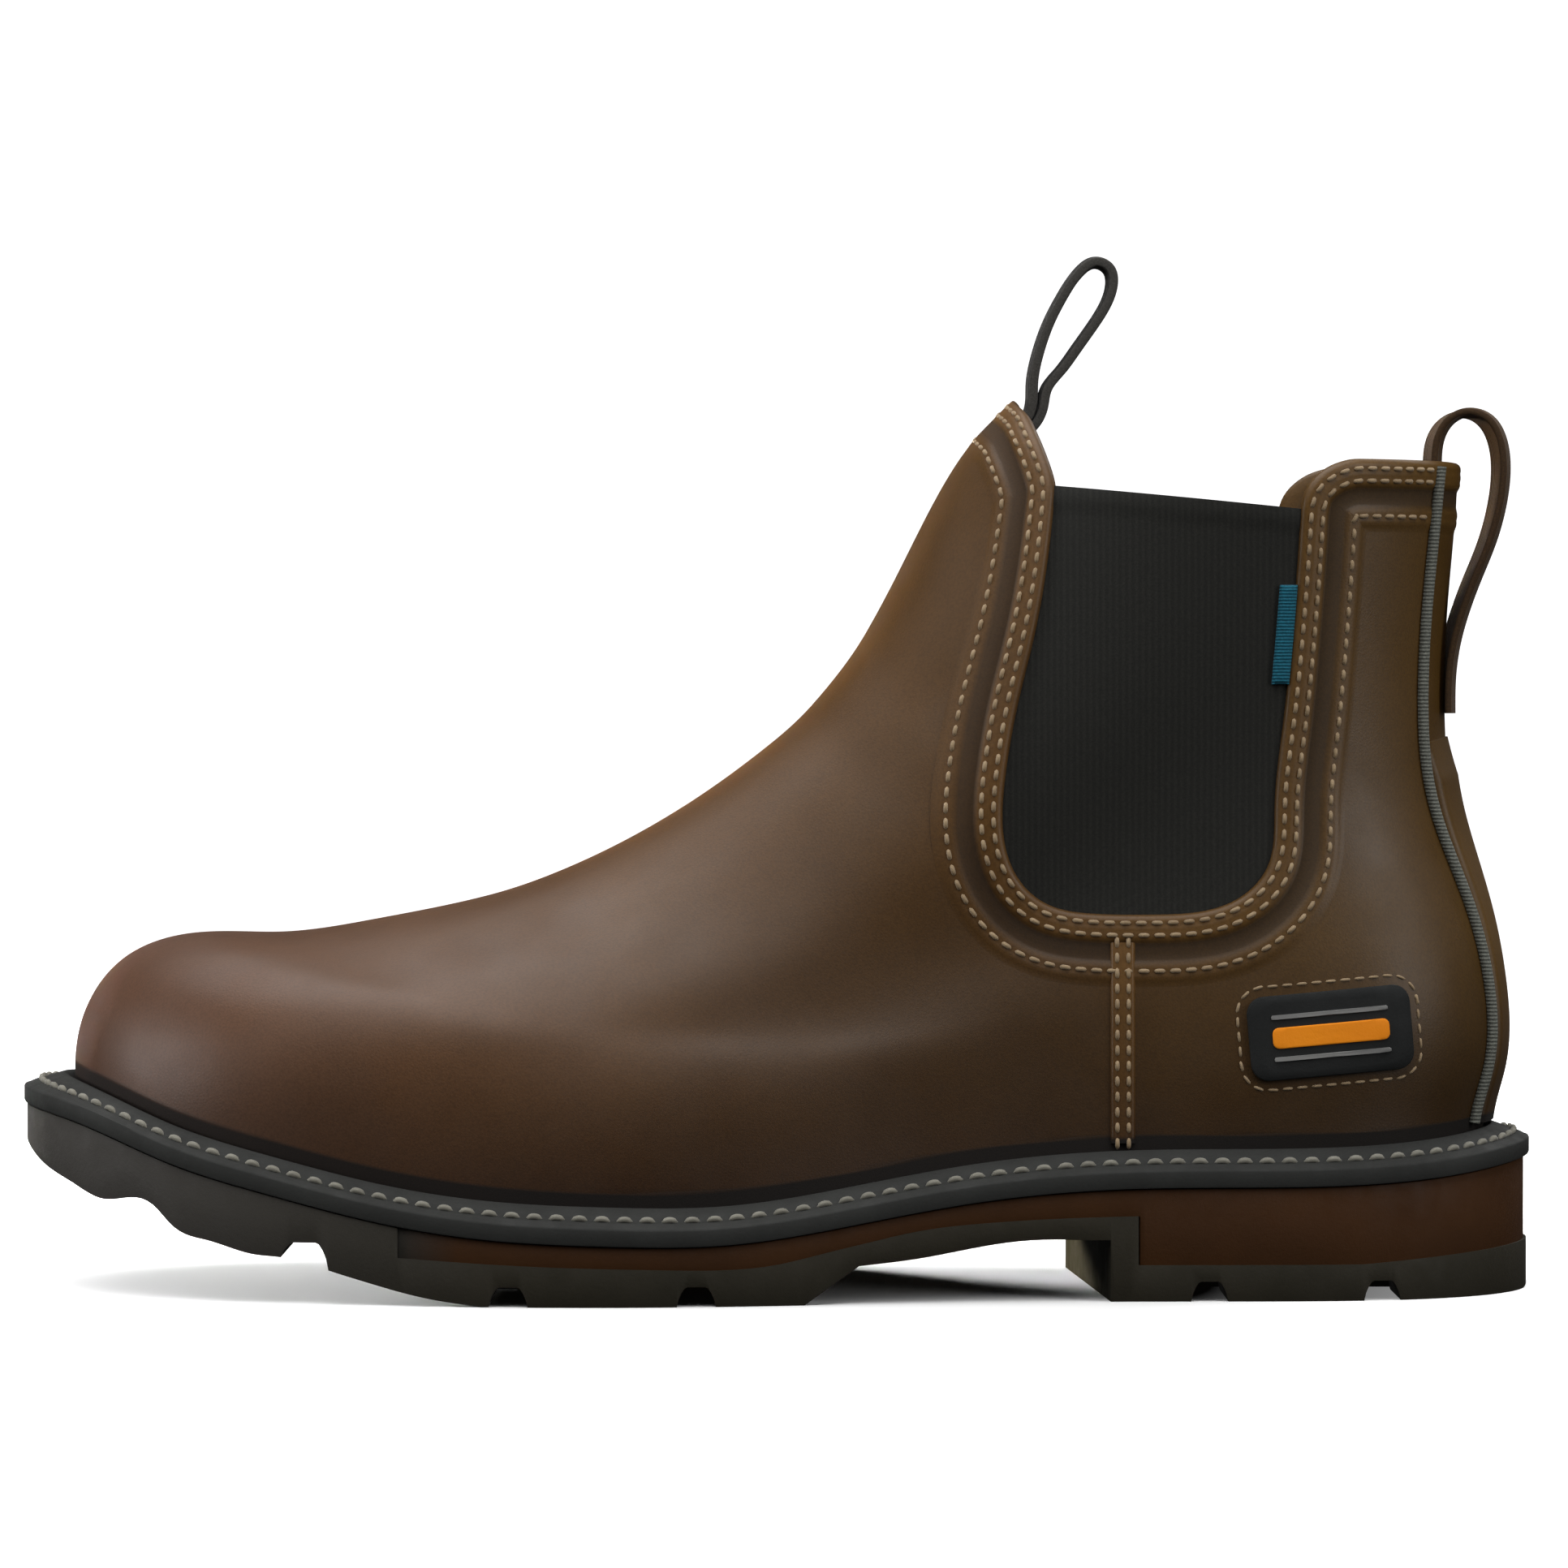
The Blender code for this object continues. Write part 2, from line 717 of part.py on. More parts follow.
def sole_outline(inset):
    """Return the sole's plan outline, moved inward by inset."""
    return raw_outline(inset, SOLE_STEPS) - (0.0, MIDDLE_Y)


def make_upper():
    """Make the leather shell, open at the collar, the gores and underneath."""
    outside = [ring(v, 0.0) for v in SHELL_ROWS]
    inside = [ring(v, -LEATHER) for v in reversed(SHELL_ROWS)]
    upper = loop_solid("upper", outside + inside, "leather")
    reach = UPPER_BALL_WIDTH
    cutter = side_prism("collar_and_gore_cutter", collar_cut(), -reach, reach)
    cut(upper, cutter, "DIFFERENCE")
    return upper


def cut_to(piece, outline, side):
    """Cut a piece on one side of the boot to a side-view outline."""
    reach = side * UPPER_BALL_WIDTH
    near = side * FIT_GAP
    cutter = side_prism(piece.name + "_outline", outline, min(near, reach), max(near, reach))
    return cut(piece, cutter, "INTERSECT")


def make_gore(name, side):
    """Make one elastic panel, side -1 for the outer and 1 for the inner one."""
    gore = window("gore", side, -GORE_RECESS, -GORE_RECESS - GORE_THICKNESS, "gore_elastic", name)
    return cut_to(gore, gore_edge(-FIT_GAP), side)


def stay_angle(v, half_width):
    """Return how far from the back, as an angle, a line at this half-width runs."""
    share = outer_share(np.ones_like(v), v)
    return np.arcsin(half_width / (share * UPPER_BALL_WIDTH / 2))


def make_back_stay():
    """Make the leather strip down the back, between the two piping lines."""
    low = feather_v(math.pi) + STAY_FOOT_RISE
    top = STAY_TOP_SHARE * COLLAR_HEIGHT
    taper = up_at(top - STAY_TAPER, math.pi)
    ups = np.append(np.linspace(low, taper, 12), up_at(top, math.pi))
    thickness = STAY_THICKNESS * np.where(ups > taper, STAY_THINNEST_SHARE, 1.0)
    half = STAY_HALF_WIDTH - PIPING_RADIUS - FIT_GAP
    spread = np.linspace(-1, 1, 9)
    angle = math.pi + spread[:, None] * stay_angle(ups, half)[None, :]
    up = np.broadcast_to(ups, angle.shape)
    outside = layer(angle, up, FIT_GAP + thickness[None, :, None])
    inside = layer(angle, up, FIT_GAP)
    return slab_solid("back_stay", outside, inside, "leather")


def make_piping(name, side):
    """Make the covered cord beside the back stay, side -1 for the outer one."""
    low = feather_v(math.pi) + PIPING_FOOT_RISE
    ups = np.linspace(low, up_at(COLLAR_HEIGHT - PIPING_RADIUS, math.pi), 22)
    angle = side * (math.pi - stay_angle(ups, STAY_HALF_WIDTH))
    centres = layer(angle, ups, PIPING_RADIUS + FIT_GAP)
    return tube_solid(name, centres, PIPING_RADIUS, 6, "piping_cover")


def make_seam_strip(name, side):
    """Make the strip over the side seam, from the gore's foot down to the welt."""
    middle = along_x(SEAM_SHARE)
    low = feather(middle) + SEAM_FOOT_GAP
    high = PEAK_HEIGHT - GORE_FRONT_DROP - GORE_DEPTH - SEAM_TOP_GAP
    strip = window("seam", side, FIT_GAP + SEAM_THICKNESS, FIT_GAP, "leather", name)
    front = middle - SEAM_WIDTH / 2
    back = middle + SEAM_WIDTH / 2
    return cut_to(strip, [(front, low), (back, low), (back, high), (front, high)], side)


def rounded_rectangle(length, height, corner, steps):
    """Return a rectangle with round corners about the origin."""
    points = []
    for k, (sx, sz) in enumerate(((1, 1), (-1, 1), (-1, -1), (1, -1))):
        for step in range(steps + 1):
            turn = math.pi / 2 * (k + step / steps)
            x = sx * (length / 2 - corner) + corner * math.cos(turn)
            z = sz * (height / 2 - corner) + corner * math.sin(turn)
            points.append((x, z))
    return np.array(points)


def make_heel_patch():
    """Make the rubber patch on the outer heel."""
    patch = window("patch", -1, FIT_GAP + PATCH_THICKNESS, FIT_GAP, "patch_rubber", "heel_patch")
    outline = rounded_rectangle(PATCH_LENGTH, PATCH_HEIGHT, PATCH_CORNER, 4)
    turn = math.radians(PATCH_TILT)
    spin = np.array([[math.cos(turn), math.sin(turn)], [-math.sin(turn), math.cos(turn)]])
    place = (along_x(PATCH_SHARE), PATCH_UP_SHARE * COLLAR_HEIGHT)
    return cut_to(patch, outline @ spin + place, -1)


def make_gore_tab():
    """Make the small folded tab at the rear edge of the outer gore."""
    edge = gore_edge(-2 * FIT_GAP)
    rear = edge[len(edge) // 2:]
    middle = TAB_UP_SHARE * PEAK_HEIGHT
    heights = np.linspace(middle - TAB_LENGTH / 2, middle + TAB_LENGTH / 2, 5)
    rear_x = np.interp(heights, rear[:, 1], rear[:, 0])
    right = np.stack((rear_x, heights), axis=1)
    outline = np.vstack((right, right[::-1] - (TAB_WIDTH, 0.0)))
    foot = FIT_GAP - GORE_RECESS
    tab = window("tab", -1, foot + TAB_THICKNESS, foot, "tab_cloth", "gore_tab")
    return cut_to(tab, outline, -1)


def webbing_solid(name, rows, height, width, thickness, bow, finish):
    """Make a flat strap along a side-view route, its edges bowed back by bow."""
    rows = np.asarray(rows, float)
    route = path(np.stack((along_x(rows[:, 0]), rows[:, 1] * height), axis=1))
    steps = 2 * len(rows) - 6
    line = route(np.linspace(0, 1, steps))
    tangent = np.gradient(line, axis=0)
    tangent /= np.linalg.norm(tangent, axis=1, keepdims=True)
    normal = np.stack((-tangent[:, 1], tangent[:, 0]), axis=1)
    across = np.linspace(-1, 1, 3)
    top = np.zeros((steps, len(across), 3))
    bottom = np.zeros_like(top)
    for k, share in enumerate(across):
        sag = bow * share**2
        for grid, lift in ((top, thickness / 2), (bottom, -thickness / 2)):
            grid[:, k, 0] = line[:, 0] + normal[:, 0] * lift - sag
            grid[:, k, 1] = share * width / 2
            grid[:, k, 2] = line[:, 1] + normal[:, 1] * lift
    return slab_solid(name, top, bottom, finish)


def make_welt():
    """Make the welt, a ring with a sloped top round the upper's lower edge."""
    angles = np.linspace(-math.pi, math.pi, SOLE_STEPS, endpoint=False)
    outline = sole_outline(0.0)
    sections = []
    for angle, (x, y) in zip(angles, outline):
        top_v = feather_v(angle)
        inner = [layer(angle, v, WELT_CLEARANCE) for v in (top_v, top_v / 2, 0.0)]
        inner[0][2] = feather(inner[0][0])
        inner[2][2] = deck(inner[2][0]) + FIT_GAP
        foot = deck(x) + FIT_GAP
        sections.append(np.array([(x, y, foot), (x, y, foot + WELT_EDGE), *inner]))
    return loop_solid("welt", sections, "outsole_rubber")


def make_insole():
    """Make the footbed, standing on the deck inside the upper."""
    angles = np.linspace(INSOLE_END_ANGLE, math.pi - INSOLE_END_ANGLE, 30)
    inward = -LEATHER - 2 * FIT_GAP
    sides = [layer(side * angles, np.full_like(angles, 0.01), inward) for side in (-1, 1)]
    bottom = np.stack((sides[0], (sides[0] + sides[1]) / 2, sides[1]), axis=1)
    bottom[..., 2] = deck(bottom[..., 0]) + FIT_GAP
    top = bottom + (0.0, 0.0, INSOLE_THICKNESS)
    return slab_solid("insole", top, bottom, "footbed_foam")


def ground(x):
    """Return the height of the tread between its grooves."""
    toe = height_curve(TOE_SPRING_ROWS, FEATHER_HEIGHT)
    return float(toe(x)) if x < along_x(TOE_SPRING_ROWS[-1][0]) else 0.0


def tread_line():
    """Return the outsole's underside in side view from toe to heel, without its grooves."""
    breast = float(along_x(HEEL_BREAST_SHARE))
    back = float(along_x(1.0))
    line = [(float(along_x(row[0])), row[1] * FEATHER_HEIGHT) for row in TOE_SPRING_ROWS]
    line.append((float(along_x(TREAD_END_SHARE)), 0.0))
    line += [(float(along_x(a)), h * FEATHER_HEIGHT) for a, h in SHANK_ROWS]
    line.append((breast, SHANK_ROWS[-1][1] * FEATHER_HEIGHT))
    line.append((breast, 0.0))
    for step in range(4):
        turn = math.pi / 2 * step / 3
        line.append((back - HEEL_CORNER * (1 - math.sin(turn)), HEEL_CORNER * (1 - math.cos(turn))))
    line.append((back + CUT_MARGIN, HEEL_CORNER))
    return line


def midsole_underside():
    """Return the midsole's underside from its front end to the back of the heel."""
    curve = height_curve(MIDSOLE_ROWS, FEATHER_HEIGHT)
    front = float(along_x(MIDSOLE_FRONT_SHARE))
    block = float(along_x(HEEL_BREAST_SHARE)) + BREAST_WALL + FIT_GAP
    line = [(float(x), float(curve(x))) for x in np.linspace(front, block, 15)]
    line.append((block, HEEL_BASE))
    line.append((block + HEEL_BASE_FLAT, HEEL_BASE))
    line.append((float(along_x(1.0)) + CUT_MARGIN, HEEL_BASE + HEEL_BASE_RISE))
    return line


def deck_line(start, stop):
    """Return the deck's side-view line between two places."""
    return [(float(x), float(deck(x))) for x in np.linspace(start, stop, 16)]


def skewed(line, y):
    """Return a side-view line moved forward near the heel breast, more on the inner side."""
    breast = along_x(HEEL_BREAST_SHARE)
    inward = y / UPPER_BALL_WIDTH + 0.5
    moved = []
    for x, z in line:
        near = max(0.0, 1 - (max(abs(x - breast) - BREAST_WALL, 0.0) / SKEW_REACH))
        moved.append((x - BREAST_SKEW * inward * near, z))
    return moved


def sole_solid(name, inset, top, under, finish):
    """Make a layer of the sole between side-view lines, its underside skewed at the breast."""
    layer_solid = plan_prism(name, sole_outline(inset), -CUT_MARGIN, BLANK_HEIGHT, finish)
    reach = UPPER_BALL_WIDTH
    outlines = [top + skewed(under, y) for y in (-reach, reach)]
    return cut(layer_solid, side_loft(name + "_side_view", *outlines, -reach, reach), "INTERSECT")


def cut_groove(outsole, name, along, width, low_y, high_y):
    """Cut one groove across the tread from low_y to high_y."""
    middle = float(along_x(along))
    size = width * SOLE_LENGTH
    foot = ground(middle)
    outline = []
    for across, up in GROOVE_SECTION:
        x = middle + (across - 0.5) * size
        outline.append((x, ground(x) * (1 - up) + (foot + LUG_DEPTH) * up))
    first = outline[0]
    last = outline[-1]
    outline.append((last[0], last[1] - CUT_MARGIN))
    outline.append((first[0], first[1] - CUT_MARGIN))
    cut(outsole, side_prism(name, outline, low_y, high_y), "DIFFERENCE")


def cut_channel(outsole, name, start, stop, middle):
    """Cut one channel along the tread from start to stop."""
    near = middle - CHANNEL_WIDTH / 2
    far = middle + CHANNEL_WIDTH / 2
    outline = [(start, near), (stop, near), (stop, far), (start, far)]
    cut(outsole, plan_prism(name, outline, -CUT_MARGIN, CHANNEL_DEPTH), "DIFFERENCE")


def make_outsole():
    """Make the outsole: tread, toe wrap, shank, breast wall and heel base in one rubber."""
    front = float(along_x(MIDSOLE_FRONT_SHARE)) - FIT_GAP
    breast = float(along_x(HEEL_BREAST_SHARE))
    step = [(x - FIT_GAP if x > breast else x, z - FIT_GAP) for x, z in midsole_underside()]
    step[0] = (front, step[0][1])
    step[-1] = (step[-1][0] + FIT_GAP, step[-1][1])
    top = deck_line(float(along_x(0.0)) - CUT_MARGIN, front)
    outsole = sole_solid("outsole", TREAD_INSET, top, step + tread_line()[::-1], "outsole_rubber")
    reach = UPPER_BALL_WIDTH
    for row, (along, width, stop) in enumerate(SIDE_GROOVE_ROWS):
        if stop == 0.0:
            cut_groove(outsole, f"groove_{row}", along, width, -reach, reach)
        else:
            cut_groove(outsole, f"groove_outer_{row}", along, width, -reach, -stop)
            cut_groove(outsole, f"groove_inner_{row}", along, width, stop, reach)
    for row, (along, width, stop) in enumerate(MIDDLE_GROOVE_ROWS):
        cut_groove(outsole, f"groove_middle_{row}", along, width, -stop, stop)
    channels = (
        ("tread", along_x(CHANNEL_FRONT_SHARE), along_x(TREAD_END_SHARE) - CHANNEL_MARGIN, TREAD_CHANNEL_PLACE),
        ("heel", breast + CHANNEL_MARGIN, along_x(1.0) - CHANNEL_MARGIN, HEEL_CHANNEL_PLACE),
    )
    for name, start, stop, place in channels:
        for side in (-1, 1):
            cut_channel(outsole, f"{name}_channel_{side}", start, stop, side * place)
    return outsole


def make_midsole():
    """Make the brown layer over the tread and shank, thick inside the heel."""
    under = midsole_underside()
    top = deck_line(under[-1][0], under[0][0])
    return sole_solid("midsole", MIDSOLE_INSET, top, under, "midsole_rubber")


def main():
    """Clear the scene and make each piece of the boot."""
    for thing in list(bpy.data.objects):
        bpy.data.objects.remove(thing)
    make_outsole()
    make_midsole()
    make_welt()
    make_insole()
    make_upper()
    make_gore("gore_outer", -1)
    make_gore("gore_inner", 1)
    make_back_stay()
    make_piping("piping_outer", -1)
    make_piping("piping_inner", 1)
    make_seam_strip("seam_strip_outer", -1)
    make_seam_strip("seam_strip_inner", 1)
    make_heel_patch()
    make_gore_tab()
    webbing_solid("pull_loop_front", FRONT_LOOP_ROWS, PEAK_HEIGHT, FRONT_WEBBING_WIDTH,
                  FRONT_WEBBING_THICKNESS, FRONT_LOOP_BOW, "front_webbing")
    webbing_solid("pull_loop_back", BACK_LOOP_ROWS, COLLAR_HEIGHT, BACK_WEBBING_WIDTH,
                  BACK_WEBBING_THICKNESS, BACK_LOOP_BOW, "back_webbing")


main()
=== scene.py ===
"""Side gore work boot: the looks of the left boot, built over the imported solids.

Metres, +Z up; the toe points to -X and the outer side of the foot to -Y. Every piece on
the upper is laid on one surface, the last, at its own depth.
"""
import logging
import math
from dataclasses import dataclass
from enum import Enum
from typing import Callable, Sequence

import bmesh
import bpy
import numpy as np
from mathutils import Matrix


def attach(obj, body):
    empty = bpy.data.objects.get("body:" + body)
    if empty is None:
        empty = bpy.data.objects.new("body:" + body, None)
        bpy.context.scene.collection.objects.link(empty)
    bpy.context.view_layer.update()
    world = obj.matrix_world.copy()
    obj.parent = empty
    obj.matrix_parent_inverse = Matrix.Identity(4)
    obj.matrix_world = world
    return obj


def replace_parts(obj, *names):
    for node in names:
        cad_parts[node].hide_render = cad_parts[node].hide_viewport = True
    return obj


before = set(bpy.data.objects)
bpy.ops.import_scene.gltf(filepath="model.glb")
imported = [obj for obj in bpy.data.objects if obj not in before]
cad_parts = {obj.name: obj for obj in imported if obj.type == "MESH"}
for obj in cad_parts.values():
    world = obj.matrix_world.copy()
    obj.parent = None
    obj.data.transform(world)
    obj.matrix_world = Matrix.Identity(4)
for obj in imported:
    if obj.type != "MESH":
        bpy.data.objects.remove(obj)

LOG = logging.getLogger("boot")
Points = np.ndarray
MM = 0.001


class Side(Enum):
    """The two sides of the boot, as the sign of their Y."""

    OUTER = -1
    INNER = 1


def cubic(places: Sequence[float], rows: Sequence) -> Callable[[Points], Points]:
    """Make a smooth function through rows of values, a natural cubic spline.

    Args:
        places: rising parameter values, one for each row.
        rows: the values at those places, one row of numbers each.

    Returns:
        A function from an array of places to an array with one more axis.
    """
    place = np.asarray(places, float)
    value = np.asarray(rows, float)
    count = len(place)
    step = np.diff(place)
    matrix = np.eye(count)
    right = np.zeros_like(value)
    for i in range(1, count - 1):
        matrix[i, i - 1:i + 2] = (step[i - 1], 2 * (step[i - 1] + step[i]), step[i])
        right[i] = 6 * ((value[i + 1] - value[i]) / step[i] - (value[i] - value[i - 1]) / step[i - 1])
    bend = np.linalg.solve(matrix, right)

    def at(where: Points) -> Points:
        """Return the values at these places."""
        where = np.clip(np.asarray(where, float), place[0], place[-1])
        i = np.clip(np.searchsorted(place, where, side="right") - 1, 0, count - 2)
        size = step[i][..., None]
        a = (place[i + 1] - where)[..., None] / size
        b = 1 - a
        curve = ((a**3 - a) * bend[i] + (b**3 - b) * bend[i + 1]) * size**2 / 6
        return a * value[i] + b * value[i + 1] + curve

    return at


def travel(points: Points) -> Points:
    """Return the distance along a row of points, from 0 at the first."""
    steps = np.linalg.norm(np.diff(points, axis=0), axis=1)
    return np.concatenate(([0.0], np.cumsum(steps)))


def path(points: Sequence) -> Callable[[Points], Points]:
    """Return a smooth curve through points, its parameter 0 to 1 by distance."""
    points = np.asarray(points, float)
    length = travel(points)
    return cubic(length / length[-1], points)


def even(points: Points, spacing: float) -> Points:
    """Place points along a polyline at an even spacing.

    Args:
        points: the polyline, its places in the first columns, and any other values after the third.
        spacing: the distance wanted between points.

    Returns:
        The evenly spaced points, first and last ones kept.
    """
    length = travel(points[:, :3])
    count = max(2, int(round(length[-1] / spacing)) + 1)
    where = np.linspace(0, length[-1], count)
    return np.stack([np.interp(where, length, points[:, k]) for k in range(points.shape[1])], axis=1)


def unit(vectors: Points) -> Points:
    """Return vectors scaled to length 1."""
    return vectors / np.maximum(np.linalg.norm(vectors, axis=-1, keepdims=True), 1e-12)


def bump_row(place: Points, middle: float, half: float) -> Points:
    """Return a smooth hump of height 1 about middle that ends at half to each side."""
    return np.clip(1 - ((place - middle) / half)**2, 0, None)**2


@dataclass
class Last:
    """The form of the upper: its side view, its half-widths and the lines of the sole."""

    sole_length: float = 0.312
    ball_width: float = 0.102
    peak_height: float = 0.182
    collar_height: float = 0.169
    overrun: float = 0.003
    toe_swing: float = 0.007
    feather_height: float = 0.0436
    welt_edge: float = 0.0037
    welt_rise: float = 0.0046
    gap: float = 0.0003
    ledges: tuple = (0.0110, 0.0072, 0.0072, 0.0072, 0.0072, 0.0096)
    ledge_places: tuple = (0.0, 0.15, 0.3, 0.7, 0.85, 1.0)
    rim_toe: float = 0.0365
    rim_heel: float = 0.9679
    gore_width: float = 0.0613
    gore_depth: float = 0.0871
    gore_front: float = 0.0456
    gore_front_drop: float = 0.0177
    # along, height
    feather_rows: tuple = (
        (0.000, 1.066), (0.046, 1.000), (0.109, 0.835), (0.176, 0.700), (0.244, 0.583),
        (0.314, 0.507), (0.394, 0.477), (0.471, 0.480), (0.551, 0.562), (0.628, 0.656),
        (0.724, 0.716), (0.837, 0.725), (0.939, 0.766), (1.000, 0.830),
    )
    # along, height
    front_rows: tuple = (
        (0.0343, 0.247), (0.0423, 0.315), (0.0673, 0.370), (0.1090, 0.397), (0.1699, 0.399),
        (0.2340, 0.414), (0.3205, 0.447), (0.4038, 0.507), (0.4744, 0.584), (0.5321, 0.674),
        (0.5705, 0.772), (0.6058, 0.890), (0.6346, 0.964), (0.6561, 1.001),
    )
    # along, height
    back_rows: tuple = (
        (0.9712, 0.221), (0.9782, 0.272), (0.9804, 0.314), (0.9785, 0.367), (0.9705, 0.450),
        (0.9596, 0.521), (0.9506, 0.580), (0.9452, 0.639), (0.9433, 0.710), (0.9452, 0.828),
        (0.9500, 0.935), (0.9520, 1.000),
    )
    ring_places: tuple = (0.00, 0.10, 0.25, 0.40, 0.60, 0.85, 1.00)
    # up, then the half-width share at each ring place
    outer_rings: tuple = (
        (0.00, 1.48, 1.36, 1.18, 1.06, 0.83, 1.00, 1.41),
        (0.10, 1.50, 1.42, 1.20, 1.05, 0.80, 1.01, 1.42),
        (0.25, 1.30, 1.28, 1.10, 0.87, 0.75, 0.99, 1.38),
        (0.45, 0.94, 0.92, 0.83, 0.72, 0.69, 0.87, 1.03),
        (0.70, 0.75, 0.76, 0.74, 0.72, 0.71, 0.76, 0.79),
        (1.00, 0.66, 0.68, 0.71, 0.72, 0.72, 0.72, 0.72),
    )
    # up, then the half-width share at each ring place
    inner_rings: tuple = (
        (0.00, 1.48, 1.31, 1.05, 0.93, 0.69, 0.95, 1.41),
        (0.10, 1.50, 1.37, 1.07, 0.91, 0.67, 0.97, 1.42),
        (0.25, 1.30, 1.22, 1.00, 0.79, 0.69, 0.97, 1.38),
        (0.45, 0.94, 0.88, 0.78, 0.69, 0.68, 0.87, 1.03),
        (0.70, 0.75, 0.76, 0.74, 0.72, 0.71, 0.76, 0.79),
        (1.00, 0.66, 0.68, 0.71, 0.72, 0.72, 0.72, 0.72),
    )
    # across the gore, up the gore
    gore_rows: tuple = (
        (0.170, 1.000), (0.147, 0.844), (0.098, 0.644), (0.047, 0.495), (0.005, 0.315),
        (0.000, 0.194), (0.042, 0.094), (0.142, 0.024), (0.300, 0.000), (0.509, -0.002),
        (0.684, 0.008), (0.808, 0.045), (0.892, 0.115), (0.914, 0.245), (0.943, 0.444),
        (0.971, 0.644), (0.992, 0.844), (1.000, 0.943),
    )
    # back from the gore's front, down from its top
    peak_rows: tuple = ((-0.100, -0.230), (0.045, -0.208), (0.088, -0.170), (0.126, -0.100), (0.155, -0.040))
    # back past the gore, up the rise to the collar
    quarter_rows: tuple = ((0.008, 0.30), (0.035, 0.58), (0.093, 0.86), (0.165, 1.00))
    open_back: float = 1.1
    open_top: float = 1.3
    middle_y: float = 0.0

    def __post_init__(self) -> None:
        """Make the curves that the tables stand for."""
        rows = np.asarray(self.feather_rows)
        self._feather = cubic(self.along_x(rows[:, 0]), rows[:, 1:] * self.feather_height)
        self._front = self._profile(self.front_rows, self.peak_height, self.rim_toe)
        self._back = self._profile(self.back_rows, self.collar_height, self.rim_heel)
        self._along = cubic(self.ring_places, np.eye(len(self.ring_places)))
        self._ups = {}
        for side, rings in ((Side.OUTER, self.outer_rings), (Side.INNER, self.inner_rings)):
            table = np.asarray(rings)
            self._ups[side] = (cubic(table[:, 0], np.eye(len(table))), table[:, 1:])
        across = self.sole_outline(0.0, 720)[:, 1]
        self.middle_y = float(across.max() + across.min()) / 2

    def along_x(self, share: Points) -> Points:
        """Return the X of a place given as a share of the sole's length."""
        return (np.asarray(share) - 0.5) * self.sole_length

    def feather(self, x: Points) -> Points:
        """Return the height of the line where upper and welt meet."""
        return self._feather(x)[..., 0]

    def deck(self, x: Points) -> Points:
        """Return the height of the sole's upper face."""
        return self.feather(x) - self.welt_edge - self.welt_rise - 2 * self.gap

    def _profile(self, table: Sequence, height: float, rim_share: float) -> Callable[[Points], Points]:
        """Make a side-view curve of the upper from its rim to above the collar.

        Args:
            table: rows of (along, height) shares.
            height: the size that the heights are shares of.
            rim_share: where along the sole the curve's lower end is.

        Returns:
            The curve as a function from 0 to 1.
        """
        rows = np.asarray(table, float)
        points = np.stack((self.along_x(rows[:, 0]), rows[:, 1] * height), axis=1)
        rim_x = self.along_x(rim_share)
        rim = np.array([rim_x, self.deck(rim_x) + self.gap])
        last = points[-1] - points[-2]
        above = points[-1] + last / np.linalg.norm(last) * self.overrun
        return path(np.vstack((rim, points, above)))

    def side_view(self, t: Points, v: Points) -> Points:
        """Return X and Z of the surface, t front to back and v rim to top."""
        t = np.asarray(t, float)[..., None]
        low_x = self.along_x(self.rim_toe + (self.rim_heel - self.rim_toe) * t[..., 0])
        low = np.stack((low_x, self.deck(low_x) + self.gap), axis=-1)
        rise = np.asarray(v, float)[..., None]
        straight = (1 - t) * self._front(0.0) + t * self._back(0.0)
        return (1 - t) * self._front(v) + t * self._back(v) + (1 - rise) * (low - straight)

    def _share(self, side: Side, t: Points, v: Points) -> Points:
        """Return the half-width share on one side."""
        weights, table = self._ups[side]
        return np.einsum("...r,...c,rc->...", weights(v), self._along(t), table)

    def surface(self, angle: Points, v: Points) -> Points:
        """Return points of the outer surface; negative angles are the outer side."""
        angle, v = np.broadcast_arrays(np.asarray(angle, float), np.asarray(v, float))
        t = (1 - np.cos(angle)) / 2
        flat = self.side_view(t, v)
        outside = np.sin(angle) < 0
        share = np.where(outside, self._share(Side.OUTER, t, v), self._share(Side.INNER, t, v))
        swing = self.toe_swing * (1 - t)**2 * np.clip(1 - v, 0, 1)**1.5
        y = swing + np.sin(angle) * share * self.ball_width / 2 - self.middle_y
        return np.stack((flat[..., 0], y, flat[..., 1]), axis=-1)

    def tangents(self, angle: Points, v: Points) -> tuple[Points, Points]:
        """Return the surface's derivatives by angle and by v."""
        small = 1e-4
        around = (self.surface(angle + small, v) - self.surface(angle - small, v)) / (2 * small)
        low = np.clip(np.asarray(v) - small, 0, 1)
        high = np.clip(np.asarray(v) + small, 0, 1)
        up = (self.surface(angle, high) - self.surface(angle, low)) / (high - low)[..., None]
        return around, up

    def normal(self, angle: Points, v: Points) -> Points:
        """Return the outward unit normals."""
        around, up = self.tangents(angle, v)
        return unit(np.cross(up, around))

    def layer(self, angle: Points, v: Points, depth: Points) -> Points:
        """Return points of the surface moved outward by depth."""
        angle, v = np.broadcast_arrays(np.asarray(angle, float), np.asarray(v, float))
        depth = np.broadcast_to(depth, angle.shape)
        return self.surface(angle, v) + self.normal(angle, v) * depth[..., None]

